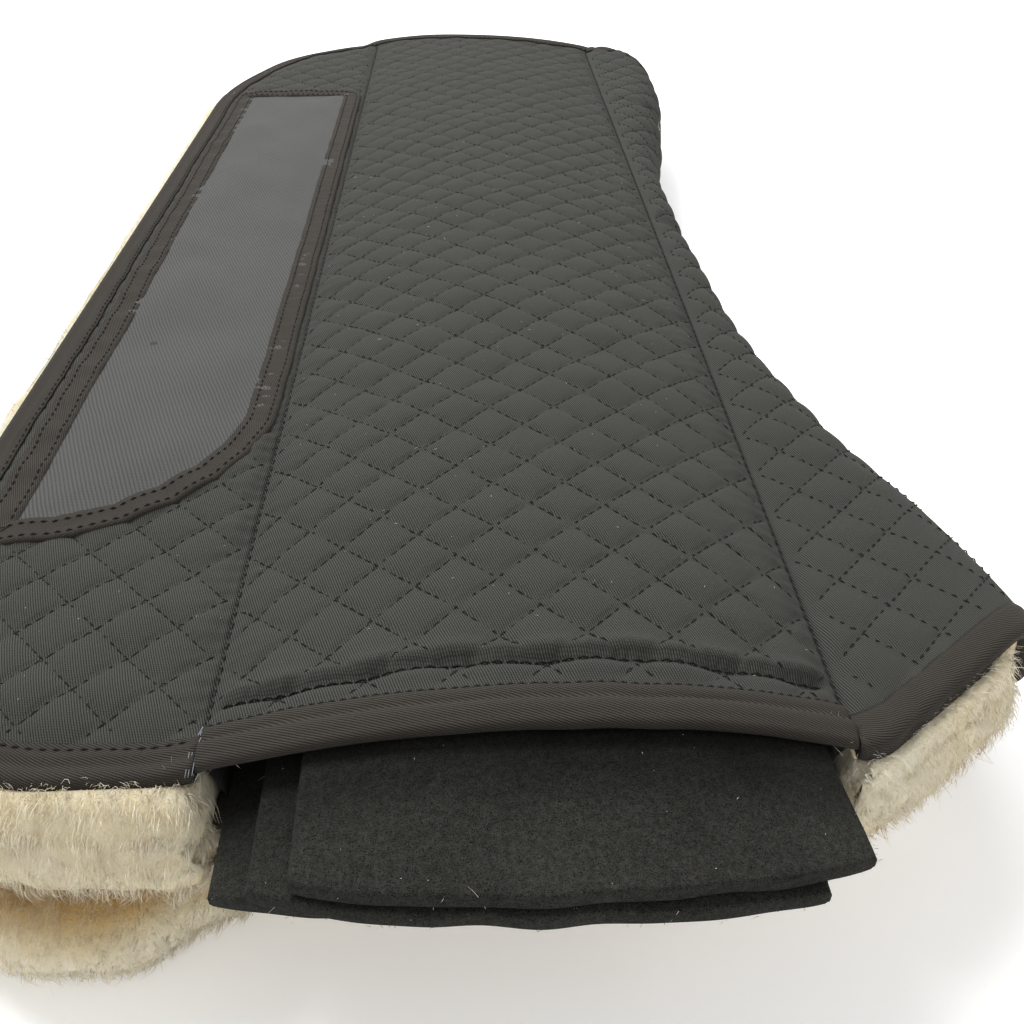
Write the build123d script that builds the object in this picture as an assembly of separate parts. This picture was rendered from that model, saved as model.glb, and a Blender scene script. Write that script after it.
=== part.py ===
"""Sheepskin-lined saddle pad, folded in half along its spine, with felt shims in its upper pocket.

X runs from the flap side to the spine, Y along the pad away from the pocket mouth, Z up. Each half is
drawn outer face up. The lower half is turned over, so that the wool of the two halves meets in the middle.
"""
import os
from math import atan2, cos, sin

from build123d import *

# ---- driving dimensions, millimetres ----
HALF_THICKNESS = 34.0        # one half, from the middle plane to its flat outer face
MID_GAP = 0.3                # free space between the wool of the two halves
TWILL = 1.2                  # depth of each layer's underside below the outer face
WADDING = 4.0
LINING = 5.0
HIDE = 7.5
FOLD_RADIUS = 20.0           # the cover's bend round the spine fold
TAPE = 0.8                   # thickness of the tapes and of the patch
TAPE_WIDTH = 9.0
MOUTH_TAPE_WIDTH = 7.0
THREAD = 0.4                 # height that a row of stitches stands up
THREAD_WIDTH = 0.8
WOOL_BULGE = 8.0             # how far the wool swells out past a cut edge
WOOL_BULGE_TOP = 9.0         # and how far below the outer face it starts

CHANNEL_HALF = 77.5          # half the width between the two pocket seams
CHANNEL_FALL = 11.0          # how much deeper the pocket lies at its far end
CHANNEL_RUN = 640.0
POCKET_HALF = 73.0           # half the width of the space inside the pocket
POCKET_END = 641.0
CROWN_X = 5.0                # the arch is highest a little to the spine side
FLOOR_RADIUS = 400.0         # the shims and the pocket floor bow across their width
FLOOR_DEPTH = 5.0            # crown of the pocket floor below the outer face
CEILING_DROP = 4.0           # cover and wadding over the pocket, at the crown

SHIM = 4.7                   # felt thickness
SHIM_GAP = 0.3
SHIM_BACK = 590.0
SHIM_BOW = 8.0               # how far the middle of a shim's front edge stands out

REACH = 260.0                # drawing space beyond the pad's edges
MID_Z = HALF_THICKNESS
TOP_Z = 2 * HALF_THICKNESS

# the spine fold in plan: widest at the two ends, hollowed along the back
SPINE = [(149, -60), (148, 4), (138, 62), (118.5, 134), (103.5, 220), (98, 312),
         (99, 402), (112, 497), (123, 577), (125, 637), (120, 724)]

# the cut edge in plan, with a corner radius at each point; it passes outside the spine fold
CUT_EDGE = [((REACH, 130), 5), ((83, 0), 12), ((-172, 0), 64), ((-171, 560), 200), ((-140, 640), 90),
            ((-88, 677), 70), ((-40, 676), 150), ((98, 648), 40), ((126, 612), 40), ((REACH, 510), 5)]

# the wear patch on the flap
PATCH = [((-159, 84), 6), ((-80, 84), 70), ((-80, 546), 14), ((-159, 546), 6)]

# the arch over the pocket at the mouth, from the flap seam to the spine seam: x, height of the outside
# above the flat face, and x, height of the inside
ARCH_OUTSIDE = [(-77.5, 0.0), (-66.0, 5.0), (-53.0, 11.2), (-27.0, 15.2), (6.0, 17.0),
                (36.0, 16.0), (57.0, 13.4), (70.0, 10.0), (77.5, 0.0)]
ARCH_INSIDE = [(-73.0, -2.5), (-63.0, 1.5), (-51.5, 7.7), (-26.0, 11.2), (6.0, 13.0),
               (35.0, 12.0), (55.0, 9.4), (70.5, 5.6), (73.0, -2.5)]

# flap-side edge, spine-side edge and front corner of each shim, from the bottom of the stack up
SHIMS = {"shim_bottom": (-72.0, 59.0, -31.0), "shim_middle": (-62.0, 64.0, -32.0),
         "shim_top": (-52.0, 70.5, -30.0)}

FALL_ANGLE = atan2(CHANNEL_FALL, CHANNEL_RUN)
FLOOR_CENTRE_Z = TOP_Z - FLOOR_DEPTH - FLOOR_RADIUS


# ---- plan shapes and prisms ----
def rounded(corners):
    """Closed face with a radius at each corner."""
    points = [point for point, radius in corners]
    return make_face(FilletPolyline(*points, radius=[radius for point, radius in corners], close=True))


def prism(face, low, high):
    """Upright prism on a plan face."""
    return Pos(0, 0, low) * extrude(face, amount=high - low)


def block(x0, x1, y0, y1, z0, z1):
    """Box given by its limits."""
    return Pos((x0 + x1) / 2, (y0 + y1) / 2, (z0 + z1) / 2) * Box(x1 - x0, y1 - y0, z1 - z0)


def spine_plan(depth):
    """Everything on the flap side of the fold, drawn in by a depth."""
    contour = [(x - depth, y) for x, y in SPINE]
    sides = Polyline(contour[-1], (-REACH, contour[-1][1]), (-REACH, contour[0][1]), contour[0])
    return make_face([Spline(*contour), sides])


def under_layer(depth):
    """All of a half that lies deeper than a layer, with its rounded bend at the fold."""
    solid = prism(spine_plan(depth), MID_Z + MID_GAP / 2, TOP_Z - depth)
    bend = solid.edges().filter_by(GeomType.BSPLINE).sort_by(Axis.Z)[-1]
    return fillet(bend, FOLD_RADIUS - depth)


CUT_PLAN = rounded(CUT_EDGE)
PATCH_PLAN = rounded(PATCH)


# ---- shapes along the pocket, which sinks a little towards its far end ----
def along_pocket(face, start, end):
    """Sweep a cross-section, drawn at the mouth, along the pocket's line."""
    tilt = (0, cos(FALL_ANGLE), -sin(FALL_ANGLE))
    length = (end - start) / cos(FALL_ANGLE)
    drop = start * CHANNEL_FALL / CHANNEL_RUN
    return Pos(0, start, -drop) * extrude(face, amount=length, dir=tilt)


def arch_curve(depth):
    """The arch's line: depth 0 is its outside and 1 its inside."""
    return Spline(*[(x0 + (x1 - x0) * depth, 0, TOP_Z + z0 + (z1 - z0) * depth)
                    for (x0, z0), (x1, z1) in zip(ARCH_OUTSIDE, ARCH_INSIDE)])


def under_arch(depth):
    """Cross-section of everything below the arch, down to just under the cover."""
    curve = arch_curve(depth)
    left, right = curve @ 0, curve @ 1
    base = TOP_Z - WADDING - 1
    return make_face([curve, Polyline(right, (right.X, 0, base), (left.X, 0, base), left)])


def arch_band(depth0, depth1):
    """Cross-section between two lines of the arch."""
    outer, inner = arch_curve(depth0), arch_curve(depth1)
    return make_face([outer, inner, Line(outer @ 0, inner @ 0), Line(outer @ 1, inner @ 1)])


def bow_curve(radius, x0, x1):
    """A line bowed across the pocket, concentric with its floor."""
    def point(x):
        return (x, 0, FLOOR_CENTRE_Z + (radius ** 2 - (x - CROWN_X) ** 2) ** 0.5)
    return ThreePointArc(point(x0), point((x0 + x1) / 2), point(x1))


def bow_band(radius0, radius1, x0, x1):
    """Cross-section between two bowed lines."""
    low, high = bow_curve(radius0, x0, x1), bow_curve(radius1, x0, x1)
    return make_face([low, high, Line(low @ 0, high @ 0), Line(low @ 1, high @ 1)])


def above_floor(depth):
    """Cross-section of everything above the pocket floor, or above a layer under it."""
    half = POCKET_HALF + depth
    floor = bow_curve(FLOOR_RADIUS - depth, -half, half)
    ceiling = TOP_Z + REACH
    return make_face([floor, Polyline(floor @ 1, (half, 0, ceiling), (-half, 0, ceiling), floor @ 0)])


# ---- the layers of one half ----
def quilted_layers(arched):
    """Cover and wadding: the arch over the pocket is added to the flat face."""
    cut = prism(CUT_PLAN, 0, TOP_Z + REACH)
    outer, middle, inner = under_layer(0), under_layer(TWILL), under_layer(WADDING)
    if arched:
        far = POCKET_END + 2 * FOLD_RADIUS
        outer += along_pocket(under_arch(0), -REACH / 4, far)
        middle += along_pocket(under_arch(TWILL / CEILING_DROP), -REACH / 4, far)
        inner += along_pocket(under_arch(1), -REACH / 4, POCKET_END)
    return (outer - middle) & cut, (middle - inner) & cut


def inner_layers(arched):
    """Pocket lining, hide and wool, hollowed under the shims."""
    cut = prism(CUT_PLAN, 0, TOP_Z + REACH)
    top, under_lining, under_hide = under_layer(WADDING), under_layer(LINING), under_layer(HIDE)
    swollen = offset(CUT_PLAN, WOOL_BULGE)
    bulge = under_layer(HIDE) & prism(swollen, 0, TOP_Z - WOOL_BULGE_TOP)
    if arched:
        top -= along_pocket(above_floor(0), -REACH / 4, POCKET_END)
        under_lining -= along_pocket(above_floor(LINING - WADDING), -REACH / 4, POCKET_END + 1)
        hollow = along_pocket(above_floor(HIDE - WADDING), -REACH / 4, POCKET_END + HIDE - WADDING)
        under_hide -= hollow
        bulge -= hollow
    wool = (under_hide & cut) + bulge
    return (top - under_lining) & cut, (under_lining - under_hide) & cut, wool


# ---- tapes, patch and threads of one half, standing on the face or let into it ----
def edge_tape(rise):
    """Tape folded round the cut edge, from the fold round to the pocket mouth on both sides."""
    band = offset(CUT_PLAN, TAPE) - offset(CUT_PLAN, -TAPE_WIDTH)
    band &= spine_plan(FOLD_RADIUS + 4)
    mouth = block(-CHANNEL_HALF, CHANNEL_HALF, -REACH, TAPE_WIDTH * 3, 0, TOP_Z + REACH)
    tape = prism(band, TOP_Z - HIDE - TAPE, TOP_Z + rise)
    tape -= prism(CUT_PLAN, TOP_Z - HIDE, TOP_Z + rise - TAPE)
    return tape - mouth


def mouth_tape(arched):
    """Tape folded round the cover's edge over the pocket mouth."""
    if arched:
        around = TAPE / CEILING_DROP
        tape = along_pocket(arch_band(-around, 1 + around), -TAPE, MOUTH_TAPE_WIDTH)
        tape -= along_pocket(arch_band(0, 1), 0, REACH)
        inside = block(-CHANNEL_HALF, CHANNEL_HALF, -REACH, REACH, 0, TOP_Z + REACH)
        return tape & inside
    tape = block(-CHANNEL_HALF, CHANNEL_HALF, -TAPE, MOUTH_TAPE_WIDTH, TOP_Z - WADDING, TOP_Z)
    return tape - block(-REACH, REACH, 0, REACH, TOP_Z - WADDING + TAPE, TOP_Z - TAPE)


def floor_tape(arched):
    """Tape folded round the lining and hide under the pocket mouth."""
    skin = TAPE * 0.75
    if arched:
        deep = HIDE - WADDING
        tape = along_pocket(bow_band(FLOOR_RADIUS - deep - skin, FLOOR_RADIUS, -POCKET_HALF, POCKET_HALF),
                            -TAPE, MOUTH_TAPE_WIDTH)
        core = bow_band(FLOOR_RADIUS - deep, FLOOR_RADIUS - skin, -POCKET_HALF - 1, POCKET_HALF + 1)
        return tape - along_pocket(core, 0, REACH)
    tape = block(-POCKET_HALF, POCKET_HALF, -TAPE, MOUTH_TAPE_WIDTH, TOP_Z - HIDE - skin, TOP_Z - WADDING)
    return tape - block(-REACH, REACH, 0, REACH, TOP_Z - HIDE, TOP_Z - WADDING - skin)


def seam_thread(side, base):
    """A row of stitches along one pocket seam."""
    x = side * (CHANNEL_HALF + THREAD_WIDTH)
    return block(x - THREAD_WIDTH / 2, x + THREAD_WIDTH / 2, 14, CHANNEL_RUN - 20, base, base + THREAD)


def mouth_thread(arched):
    """A row of stitches across the mouth tape."""
    row = MOUTH_TAPE_WIDTH - 2 * THREAD_WIDTH
    if arched:
        over = TAPE / CEILING_DROP
        line = along_pocket(arch_band(-over - THREAD / CEILING_DROP, -over), row, row + THREAD_WIDTH)
        return line & block(-CHANNEL_HALF, CHANNEL_HALF, -REACH, REACH, 0, TOP_Z + REACH)
    return block(-POCKET_HALF, POCKET_HALF, row, row + THREAD_WIDTH, TOP_Z - THREAD, TOP_Z)


def half(arched):
    """All pieces of one half, outer face up. The flat half has its trims let in flush with its face."""
    cover, wadding = quilted_layers(arched)
    lining, hide, wool = inner_layers(arched)
    rise = TAPE if arched else 0.0
    patch_base = TOP_Z + rise - TAPE
    thread_base = TOP_Z if arched else TOP_Z - THREAD
    patch_thread_base = patch_base + TAPE if arched else TOP_Z - THREAD

    edge = edge_tape(rise)
    patch_inner = offset(PATCH_PLAN, -TAPE_WIDTH)
    patch = prism(patch_inner, patch_base, patch_base + TAPE)
    patch_tape = prism(PATCH_PLAN - patch_inner, patch_base, patch_base + TAPE)
    row = offset(PATCH_PLAN, -2 * THREAD_WIDTH) - offset(PATCH_PLAN, -3 * THREAD_WIDTH)
    patch_thread = prism(row, patch_thread_base, patch_thread_base + THREAD)
    mouth, floor = mouth_tape(arched), floor_tape(arched)
    hem = mouth_thread(arched)
    seams = [seam_thread(side, thread_base) for side in (-1, 1)]

    if arched:
        edge -= along_pocket(under_arch(0), -REACH / 4, POCKET_END + 2 * FOLD_RADIUS)
        edge -= hide
        mouth -= cover + wadding
    else:
        patch_tape -= patch_thread
        mouth -= hem
        cover -= edge + patch + patch_tape + patch_thread + mouth + hem + seams[0] + seams[1]
        wadding -= mouth
    lining -= floor
    wool -= edge + floor
    return {"quilted_cover": cover, "quilt_wadding": wadding, "pocket_lining": lining,
            "sheepskin_hide": hide, "wool_pile": wool, "wear_patch": patch,
            "patch_binding": patch_tape, "patch_thread": patch_thread, "edge_binding": edge,
            "mouth_binding": mouth, "mouth_hem_thread": hem, "floor_binding": floor,
            "flap_seam_thread": seams[0], "spine_seam_thread": seams[1]}


# ---- felt shims ----
def shim(level, x0, x1, corner_y):
    """One felt insert, bowed with the pocket floor, with a rounded front edge."""
    low = FLOOR_RADIUS + SHIM_GAP + level * (SHIM + SHIM_GAP)
    slab = along_pocket(bow_band(low, low + SHIM, x0, x1), -REACH / 4, SHIM_BACK + REACH / 4)
    front = ThreePointArc((x0, corner_y), ((x0 + x1) / 2, corner_y - SHIM_BOW), (x1, corner_y))
    plan = make_face([front, Polyline((x1, corner_y), (x1, SHIM_BACK), (x0, SHIM_BACK), (x0, corner_y))])
    return slab & prism(plan, 0, TOP_Z + REACH)


def assembly():
    """Every piece, by its node name, in the pad's own drawing frame."""
    pieces = {"upper_" + name: piece for name, piece in half(True).items()}
    for name, piece in half(False).items():
        pieces["lower_" + name] = mirror(piece, about=Plane.XY.offset(MID_Z))
    for level, (name, (x0, x1, corner_y)) in enumerate(SHIMS.items()):
        pieces[name] = shim(level, x0, x1, corner_y)
    return pieces


pieces = assembly()
box = Compound(children=[Compound(piece.solids()) for piece in pieces.values()]).bounding_box()
origin = Vector((box.min.X + box.max.X) / 2, (box.min.Y + box.max.Y) / 2, box.min.Z)
print("origin in the drawing frame:", origin, "size:", box.size)

os.makedirs("parts", exist_ok=True)
for name, piece in pieces.items():
    solids = piece.solids()
    placed = Pos(-origin) * (solids[0] if len(solids) == 1 else Compound(solids))
    export_step(placed, f"parts/{name}.step")
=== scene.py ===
"""Looks of the folded sheepskin saddle pad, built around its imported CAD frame.

Work is done in the pad's drawing frame, in millimetres: X from the flap to the spine, Y from the pocket
mouth, Z up from the floor. Shape functions take arrays of x and y.
"""
import math
import bpy
import numpy as np
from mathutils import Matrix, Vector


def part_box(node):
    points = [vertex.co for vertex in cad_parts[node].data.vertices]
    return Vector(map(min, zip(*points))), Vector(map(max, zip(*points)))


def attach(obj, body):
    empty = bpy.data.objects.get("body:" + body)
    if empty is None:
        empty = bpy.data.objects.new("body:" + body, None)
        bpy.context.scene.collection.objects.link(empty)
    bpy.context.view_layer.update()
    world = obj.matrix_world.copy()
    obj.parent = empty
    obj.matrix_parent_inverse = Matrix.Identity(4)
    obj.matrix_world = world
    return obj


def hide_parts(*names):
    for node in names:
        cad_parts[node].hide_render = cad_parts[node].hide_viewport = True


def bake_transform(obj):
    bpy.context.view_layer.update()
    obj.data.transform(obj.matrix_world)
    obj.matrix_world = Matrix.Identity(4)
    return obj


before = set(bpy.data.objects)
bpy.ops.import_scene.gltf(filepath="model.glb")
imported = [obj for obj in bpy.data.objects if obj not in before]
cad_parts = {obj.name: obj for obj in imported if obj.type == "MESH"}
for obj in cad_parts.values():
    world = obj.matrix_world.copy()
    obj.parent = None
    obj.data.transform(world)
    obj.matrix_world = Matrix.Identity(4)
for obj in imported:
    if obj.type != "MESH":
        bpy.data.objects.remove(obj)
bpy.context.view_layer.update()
MM = 0.001
rng = np.random.default_rng(7)

# ---- places taken from the frame ----
mouth_low, mouth_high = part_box("upper_mouth_binding")
TAPE = 0.8                       # thickness of the binding tape
ORIGIN = np.array([(mouth_low.x + mouth_high.x) / 2 / MM, mouth_low.y / MM + TAPE, 0.0])
SEAM = (mouth_high.x - mouth_low.x) / 2 / MM
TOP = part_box("upper_flap_seam_thread")[0].z / MM
MID = TOP / 2

# ---- driving dimensions, millimetres ----
CELLS = 51                       # grid steps from the channel's middle to a seam
STEP = SEAM / CELLS
DIAMOND = 14 * STEP              # a quilting diamond, corner to corner
QUILT_SHIFTS = (69 * STEP, 49 * STEP)     # where the two families of quilting lines start
PUFF = 1.45                      # how far a diamond stands up
# The arch's rise at the mouth and how much of it is lost along the channel.
CROWN, CROWN_FALL, CHANNEL_RUN = 15.0, 9.5, 640.0
CROWN_X = 3.0
HEM = 18.0                       # crease behind the mouth tape
MOUTH_TAPE = 10.0                # widths of the tapes
EDGE_TAPE = 9.0
LOWER_MOUTH = 20.0               # how far the lower half's mouth is set back
SHIM = 4.7                       # thickness of an insert
SHIM_PITCH = SHIM + 0.35
SHIM_FAR_END = 590
FELT_ROUND = 0.9                 # radius of the felt's edges
REACH = 260.0                    # beyond the fold on every line
FOLD_RUN = 640
BORDER_FALL, BORDER = 3.0, 26    # the face falls by this much toward the cut edge, over this width

SPINE = [(149, -60), (148, 4), (138, 62), (118.5, 134), (103.5, 220), (98, 312),
         (99, 402), (112, 497), (123, 577), (125, 637), (120, 724)]
CUT_EDGE = [((REACH, 130), 5), ((83, 0), 12), ((-172, 0), 64), ((-171, 560), 200), ((-140, 640), 90),
            ((-88, 677), 70), ((-40, 676), 150), ((98, 648), 40), ((126, 612), 40), ((REACH, 510), 5)]
PATCH = [((-159, 84), 6), ((-80, 84), 70), ((-80, 546), 14), ((-159, 546), 6)]
# Left and right edge of each insert and where its front lies.
SHIMS = {"shim_bottom": (-72.0, 59.0, -31.0), "shim_middle": (-62.0, 62.0, -32.0),
         "shim_top": (-52.0, 70.5, -30.0)}
# Where the two front corners of each insert lie, left and right, and how far the edge bows out between them.
SHIM_FRONT = {"shim_bottom": (-24.5, -25.0), "shim_middle": (-28.0, -33.5), "shim_top": (-30.5, -28.0)}
SHIM_BOW = 9.5


# ---- small numeric helpers ----
def smooth(edge0, edge1, value):
    """Smooth step from 0 at edge0 to 1 at edge1."""
    t = np.clip((value - edge0) / (edge1 - edge0), 0, 1)
    return t * t * (3 - 2 * t)


def lattice(i, j, k=0, seed=0):
    """A fixed pseudo-random number in 0 to 1 for whole-number cells."""
    mixed = np.sin(i * 127.1 + j * 311.7 + k * 74.7 + seed * 53.3) * 43758.5453
    return mixed - np.floor(mixed)


def noise(x, y, z=0.0, size=1.0, seed=0):
    """Smooth value noise in -1 to 1, with cells of a size in millimetres."""
    x, y, z = np.broadcast_arrays(np.asarray(x, float) / size, np.asarray(y, float) / size,
                                  np.asarray(z, float) / size)
    i, j, k = np.floor(x), np.floor(y), np.floor(z)
    u, v, w = x - i, y - j, z - k
    u, v, w = (t * t * (3 - 2 * t) for t in (u, v, w))
    total = 0
    for di in (0, 1):
        for dj in (0, 1):
            for dk in (0, 1):
                weight = (u if di else 1 - u) * (v if dj else 1 - v) * (w if dk else 1 - w)
                total = total + weight * lattice(i + di, j + dj, k + dk, seed)
    return total * 2 - 1


def spline_x(y):
    """The spine fold's x at y: a smooth curve through SPINE."""
    ys = np.array([p[1] for p in SPINE], float)
    xs = np.array([p[0] for p in SPINE], float)
    slope = np.gradient(xs, ys)
    k = np.clip(np.searchsorted(ys, y) - 1, 0, len(ys) - 2)
    h = ys[k + 1] - ys[k]
    t = (y - ys[k]) / h
    return ((2 * t ** 3 - 3 * t ** 2 + 1) * xs[k] + (t ** 3 - 2 * t ** 2 + t) * h * slope[k]
            + (3 * t ** 2 - 2 * t ** 3) * xs[k + 1] + (t ** 3 - t ** 2) * h * slope[k + 1])


def rounded(corners, step=2.0):
    """Closed outline through filleted corners, as evenly spaced points."""
    points = []
    count = len(corners)
    for n, (corner, radius) in enumerate(corners):
        before = np.array(corners[n - 1][0], float)
        after = np.array(corners[(n + 1) % count][0], float)
        corner = np.array(corner, float)
        a, b = before - corner, after - corner
        a, b = a / np.linalg.norm(a), b / np.linalg.norm(b)
        half = math.acos(np.clip(a @ b, -1, 1)) / 2
        reach = radius / math.tan(half)
        bisector = (a + b) / np.linalg.norm(a + b)
        centre = corner + bisector * radius / math.sin(half)
        start, end = corner + a * reach - centre, corner + b * reach - centre
        turn = math.atan2(start[0] * end[1] - start[1] * end[0], start @ end)
        for t in np.linspace(0, 1, max(3, int(abs(turn) * radius / step))):
            c, s = math.cos(turn * t), math.sin(turn * t)
            points.append(centre + [start[0] * c - start[1] * s, start[0] * s + start[1] * c])
    return resample(np.array(points + points[:1]), step)[:-1]


def run_along(points):
    """Distance from a path's start to each of its points."""
    return np.concatenate([[0], np.cumsum(np.linalg.norm(np.diff(points, axis=0), axis=1))])


def unit(vectors, least=0.0):
    """Vectors made one long."""
    return vectors / (np.linalg.norm(vectors, axis=-1, keepdims=True) + least)


def resample(points, step):
    """Points evenly spaced along a path."""
    length = run_along(points)
    places = np.linspace(0, length[-1], max(2, int(round(length[-1] / step)) + 1))
    return np.stack([np.interp(places, length, points[:, k]) for k in range(points.shape[1])], 1)


def edge_distance(outline, x, y):
    """Distance inwards from a closed outline: negative outside."""
    shape = np.shape(x)
    x, y = np.ravel(x), np.ravel(y)
    best = np.full(x.shape, 1e9)
    inside = np.zeros(x.shape, bool)
    for (x0, y0), (x1, y1) in zip(outline, np.roll(outline, -1, axis=0)):
        dx, dy = x1 - x0, y1 - y0
        t = np.clip(((x - x0) * dx + (y - y0) * dy) / (dx * dx + dy * dy), 0, 1)
        best = np.minimum(best, np.hypot(x - x0 - t * dx, y - y0 - t * dy))
        crosses = (y0 > y) != (y1 > y)
        if crosses.any():
            inside ^= crosses & (x < x0 + (y - y0) * dx / (dy if dy else 1e-9))
    return np.where(inside, best, -best).reshape(shape)


CUT = rounded(CUT_EDGE, 6.0)
CUT_FINE = rounded(CUT_EDGE, 2.0)
PATCH_LINE = rounded(PATCH, 2.0)


# ---- the pad's outer face ----
def beside_shims(x):
    """How far the lower half's near edge is drawn back next to the shims."""
    return 13 * smooth(-104, -80, x) + 5 * smooth(40, 62, x)


def crown(y):
    """Height of the arch's crown above the flat face."""
    return CROWN - CROWN_FALL * np.clip(y, 0, CHANNEL_RUN + 40) / CHANNEL_RUN


def arch(x, y):
    """Height of the channel over the shims."""
    half = np.where(x < CROWN_X, SEAM + CROWN_X, SEAM - CROWN_X)
    return crown(y) * np.clip(1 - np.abs((x - CROWN_X) / half) ** 2.2, 0, None)


def quilting(s, y):
    """Puffed diamonds between the stitch lines; s runs across the cloth."""
    a = (s + y - QUILT_SHIFTS[0]) / DIAMOND
    b = (y - s - QUILT_SHIFTS[1]) / DIAMOND
    cell = 0.8 + 0.4 * lattice(np.floor(a), np.floor(b), seed=3)
    fa, fb = a - np.floor(a), b - np.floor(b)
    puff = (np.abs(np.sin(math.pi * fa)) * np.abs(np.sin(math.pi * fb))) ** 0.5
    near_a = np.exp(-np.minimum(fa, 1 - fa) * DIAMOND / 2.2)
    near_b = np.exp(-np.minimum(fb, 1 - fb) * DIAMOND / 2.2)
    pucker = near_a * np.sin((s - y) * 1.75 + 2.5 * noise(s, y, size=9, seed=4))
    pucker += near_b * np.sin((s + y) * 1.75 + 2.5 * noise(s, y, size=9, seed=5))
    return PUFF * (puff * cell - 0.75) + 0.3 * pucker


def relief(s, y, seams=(-1, 1)):
    """All that stands off the smooth face: quilting, seam grooves, mouth hem and creases."""
    z = quilting(s, y) + 0.9 * noise(s, y, size=55, seed=1) + 0.55 * noise(s, y, size=17, seed=2)
    for side in seams:
        d = np.abs(s - side * SEAM)
        z = z * smooth(0, 5, d) - 2.0 * np.exp(-(d / 3.6) ** 2)
        z += 0.5 * np.exp(-(d / 6.0)) * np.sin(y * 1.15 + 3 * noise(s, y, size=12, seed=6)) * smooth(0, 2, d)
    return z


def mouth_relief(s, y, z):
    """Flattens the quilting under the mouth tape and adds the hem crease behind it."""
    line = HEM + 1.2 * noise(s, 0, size=22, seed=8)
    z = z * smooth(MOUTH_TAPE - 3, MOUTH_TAPE + 3, y)
    inside = smooth(SEAM, SEAM - 7, np.abs(s))
    z += (1.6 * np.exp(-((y - line - 3.2) / 2.6) ** 2) + 0.5 * np.exp(-((y - line + 4) / 2.6) ** 2)) * inside
    gathers = np.sin(s * 2.1 + 4 * noise(s, y, size=8, seed=9))
    z += 0.3 * gathers * np.exp(-((y - line - 2.5) / 2.5) ** 2) * inside
    return z - 2.6 * np.exp(-((y - line) / 1.5) ** 2) * inside


def border_fall(x, y):
    """How far the face has dropped near the cut edge, outside the channel."""
    beside = smooth(SEAM - 2, SEAM + 12, np.abs(x))
    return BORDER_FALL * (1 - smooth(0, BORDER, edge_distance(CUT, x, y))) * beside


def outer_face(x, y, arched=True):
    """Height of the finished face at x, y, left of the fold."""
    inward = edge_distance(CUT, x, y)
    z = relief(x, y) * smooth(4, 15, inward)
    z -= border_fall(x, y)
    z -= 1.4 * smooth(0, 6, edge_distance(PATCH_LINE, x, y))
    if arched:
        channel = np.abs(x) < SEAM
        z = np.where(channel, mouth_relief(x, y, z), z)
        return TOP + z + np.where(channel, arch(x, y), 0)
    return TOP + np.minimum(z - 0.3, 0)


# ---- meshes ----
def mesh_object(name, points, faces, uv=None, values=None, smooth_faces=True):
    """Object from points in the drawing frame; uv and values hold one entry for each point."""
    mesh = bpy.data.meshes.new(name)
    points = (np.asarray(points, float).reshape(-1, 3) + ORIGIN) * MM
    faces = [tuple(f) for f in faces] if not isinstance(faces, np.ndarray) else faces
    if isinstance(faces, np.ndarray):
        count, sides = faces.shape
        mesh.vertices.add(len(points))
        mesh.vertices.foreach_set("co", points.ravel())
        mesh.loops.add(count * sides)
        mesh.loops.foreach_set("vertex_index", faces.ravel().astype(np.int32))
        mesh.polygons.add(count)
        mesh.polygons.foreach_set("loop_start", np.arange(0, count * sides, sides, dtype=np.int32))
        mesh.polygons.foreach_set("loop_total", np.full(count, sides, dtype=np.int32))
    else:
        mesh.from_pydata([tuple(p) for p in points], [], faces)
    mesh.update(calc_edges=True)
    mesh.validate()
    loops = np.empty(len(mesh.loops), np.int32)
    mesh.loops.foreach_get("vertex_index", loops)
    if uv is not None:
        layer = mesh.uv_layers.new(name="UVMap")
        layer.data.foreach_set("uv", (np.asarray(uv, float).reshape(-1, 2)[loops] * MM).ravel())
    for key, data in (values or {}).items():
        stored = mesh.attributes.new(key, "FLOAT", "POINT")
        stored.data.foreach_set("value", np.ravel(data).astype(np.float32))
    mesh.polygons.foreach_set("use_smooth", np.full(len(mesh.polygons), smooth_faces))
    obj = bpy.data.objects.new(name, mesh)
    bpy.context.scene.collection.objects.link(obj)
    return obj


def quads(rows, columns, keep=None, wrap=False):
    """Quads of a grid stored row by row; wrap joins the last column to the first."""
    r, c = np.meshgrid(np.arange(rows - 1), np.arange(columns if wrap else columns - 1), indexing="ij")
    n = (c + 1) % columns
    faces = np.stack([r * columns + c, r * columns + n, (r + 1) * columns + n, (r + 1) * columns + c], -1)
    faces = faces.reshape(-1, 4)
    if keep is not None:
        faces = faces[np.ravel(keep)[faces].all(1)]
    return faces


def along_quilting(faces, points):
    """Splits a cloth's quads into triangles whose diagonals follow the quilting lines."""
    x, y = points[faces[:, 1], 0], points[faces[:, 1], 1]
    turns = (x + y - QUILT_SHIFTS[0]) / DIAMOND
    on_line = np.abs(turns - np.round(turns)) < 0.01
    falling = np.stack([faces[:, [0, 1, 3]], faces[:, [1, 2, 3]]], 1)
    rising = np.stack([faces[:, [0, 1, 2]], faces[:, [0, 2, 3]]], 1)
    return np.where(on_line[:, None, None], falling, rising).reshape(-1, 3)


def drop_loose(points, faces, *extras):
    """Removes points that no face uses."""
    used = np.unique(faces)
    index = np.full(len(points), -1)
    index[used] = np.arange(len(used))
    return (points[used], index[faces]) + tuple(e[used] for e in extras)


def thicken(obj, thickness):
    """Gives a sheet its thickness, inwards from its outer face."""
    solid = obj.modifiers.new("thickness", "SOLIDIFY")
    solid.thickness = thickness * MM
    solid.offset = -1
    return obj


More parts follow.
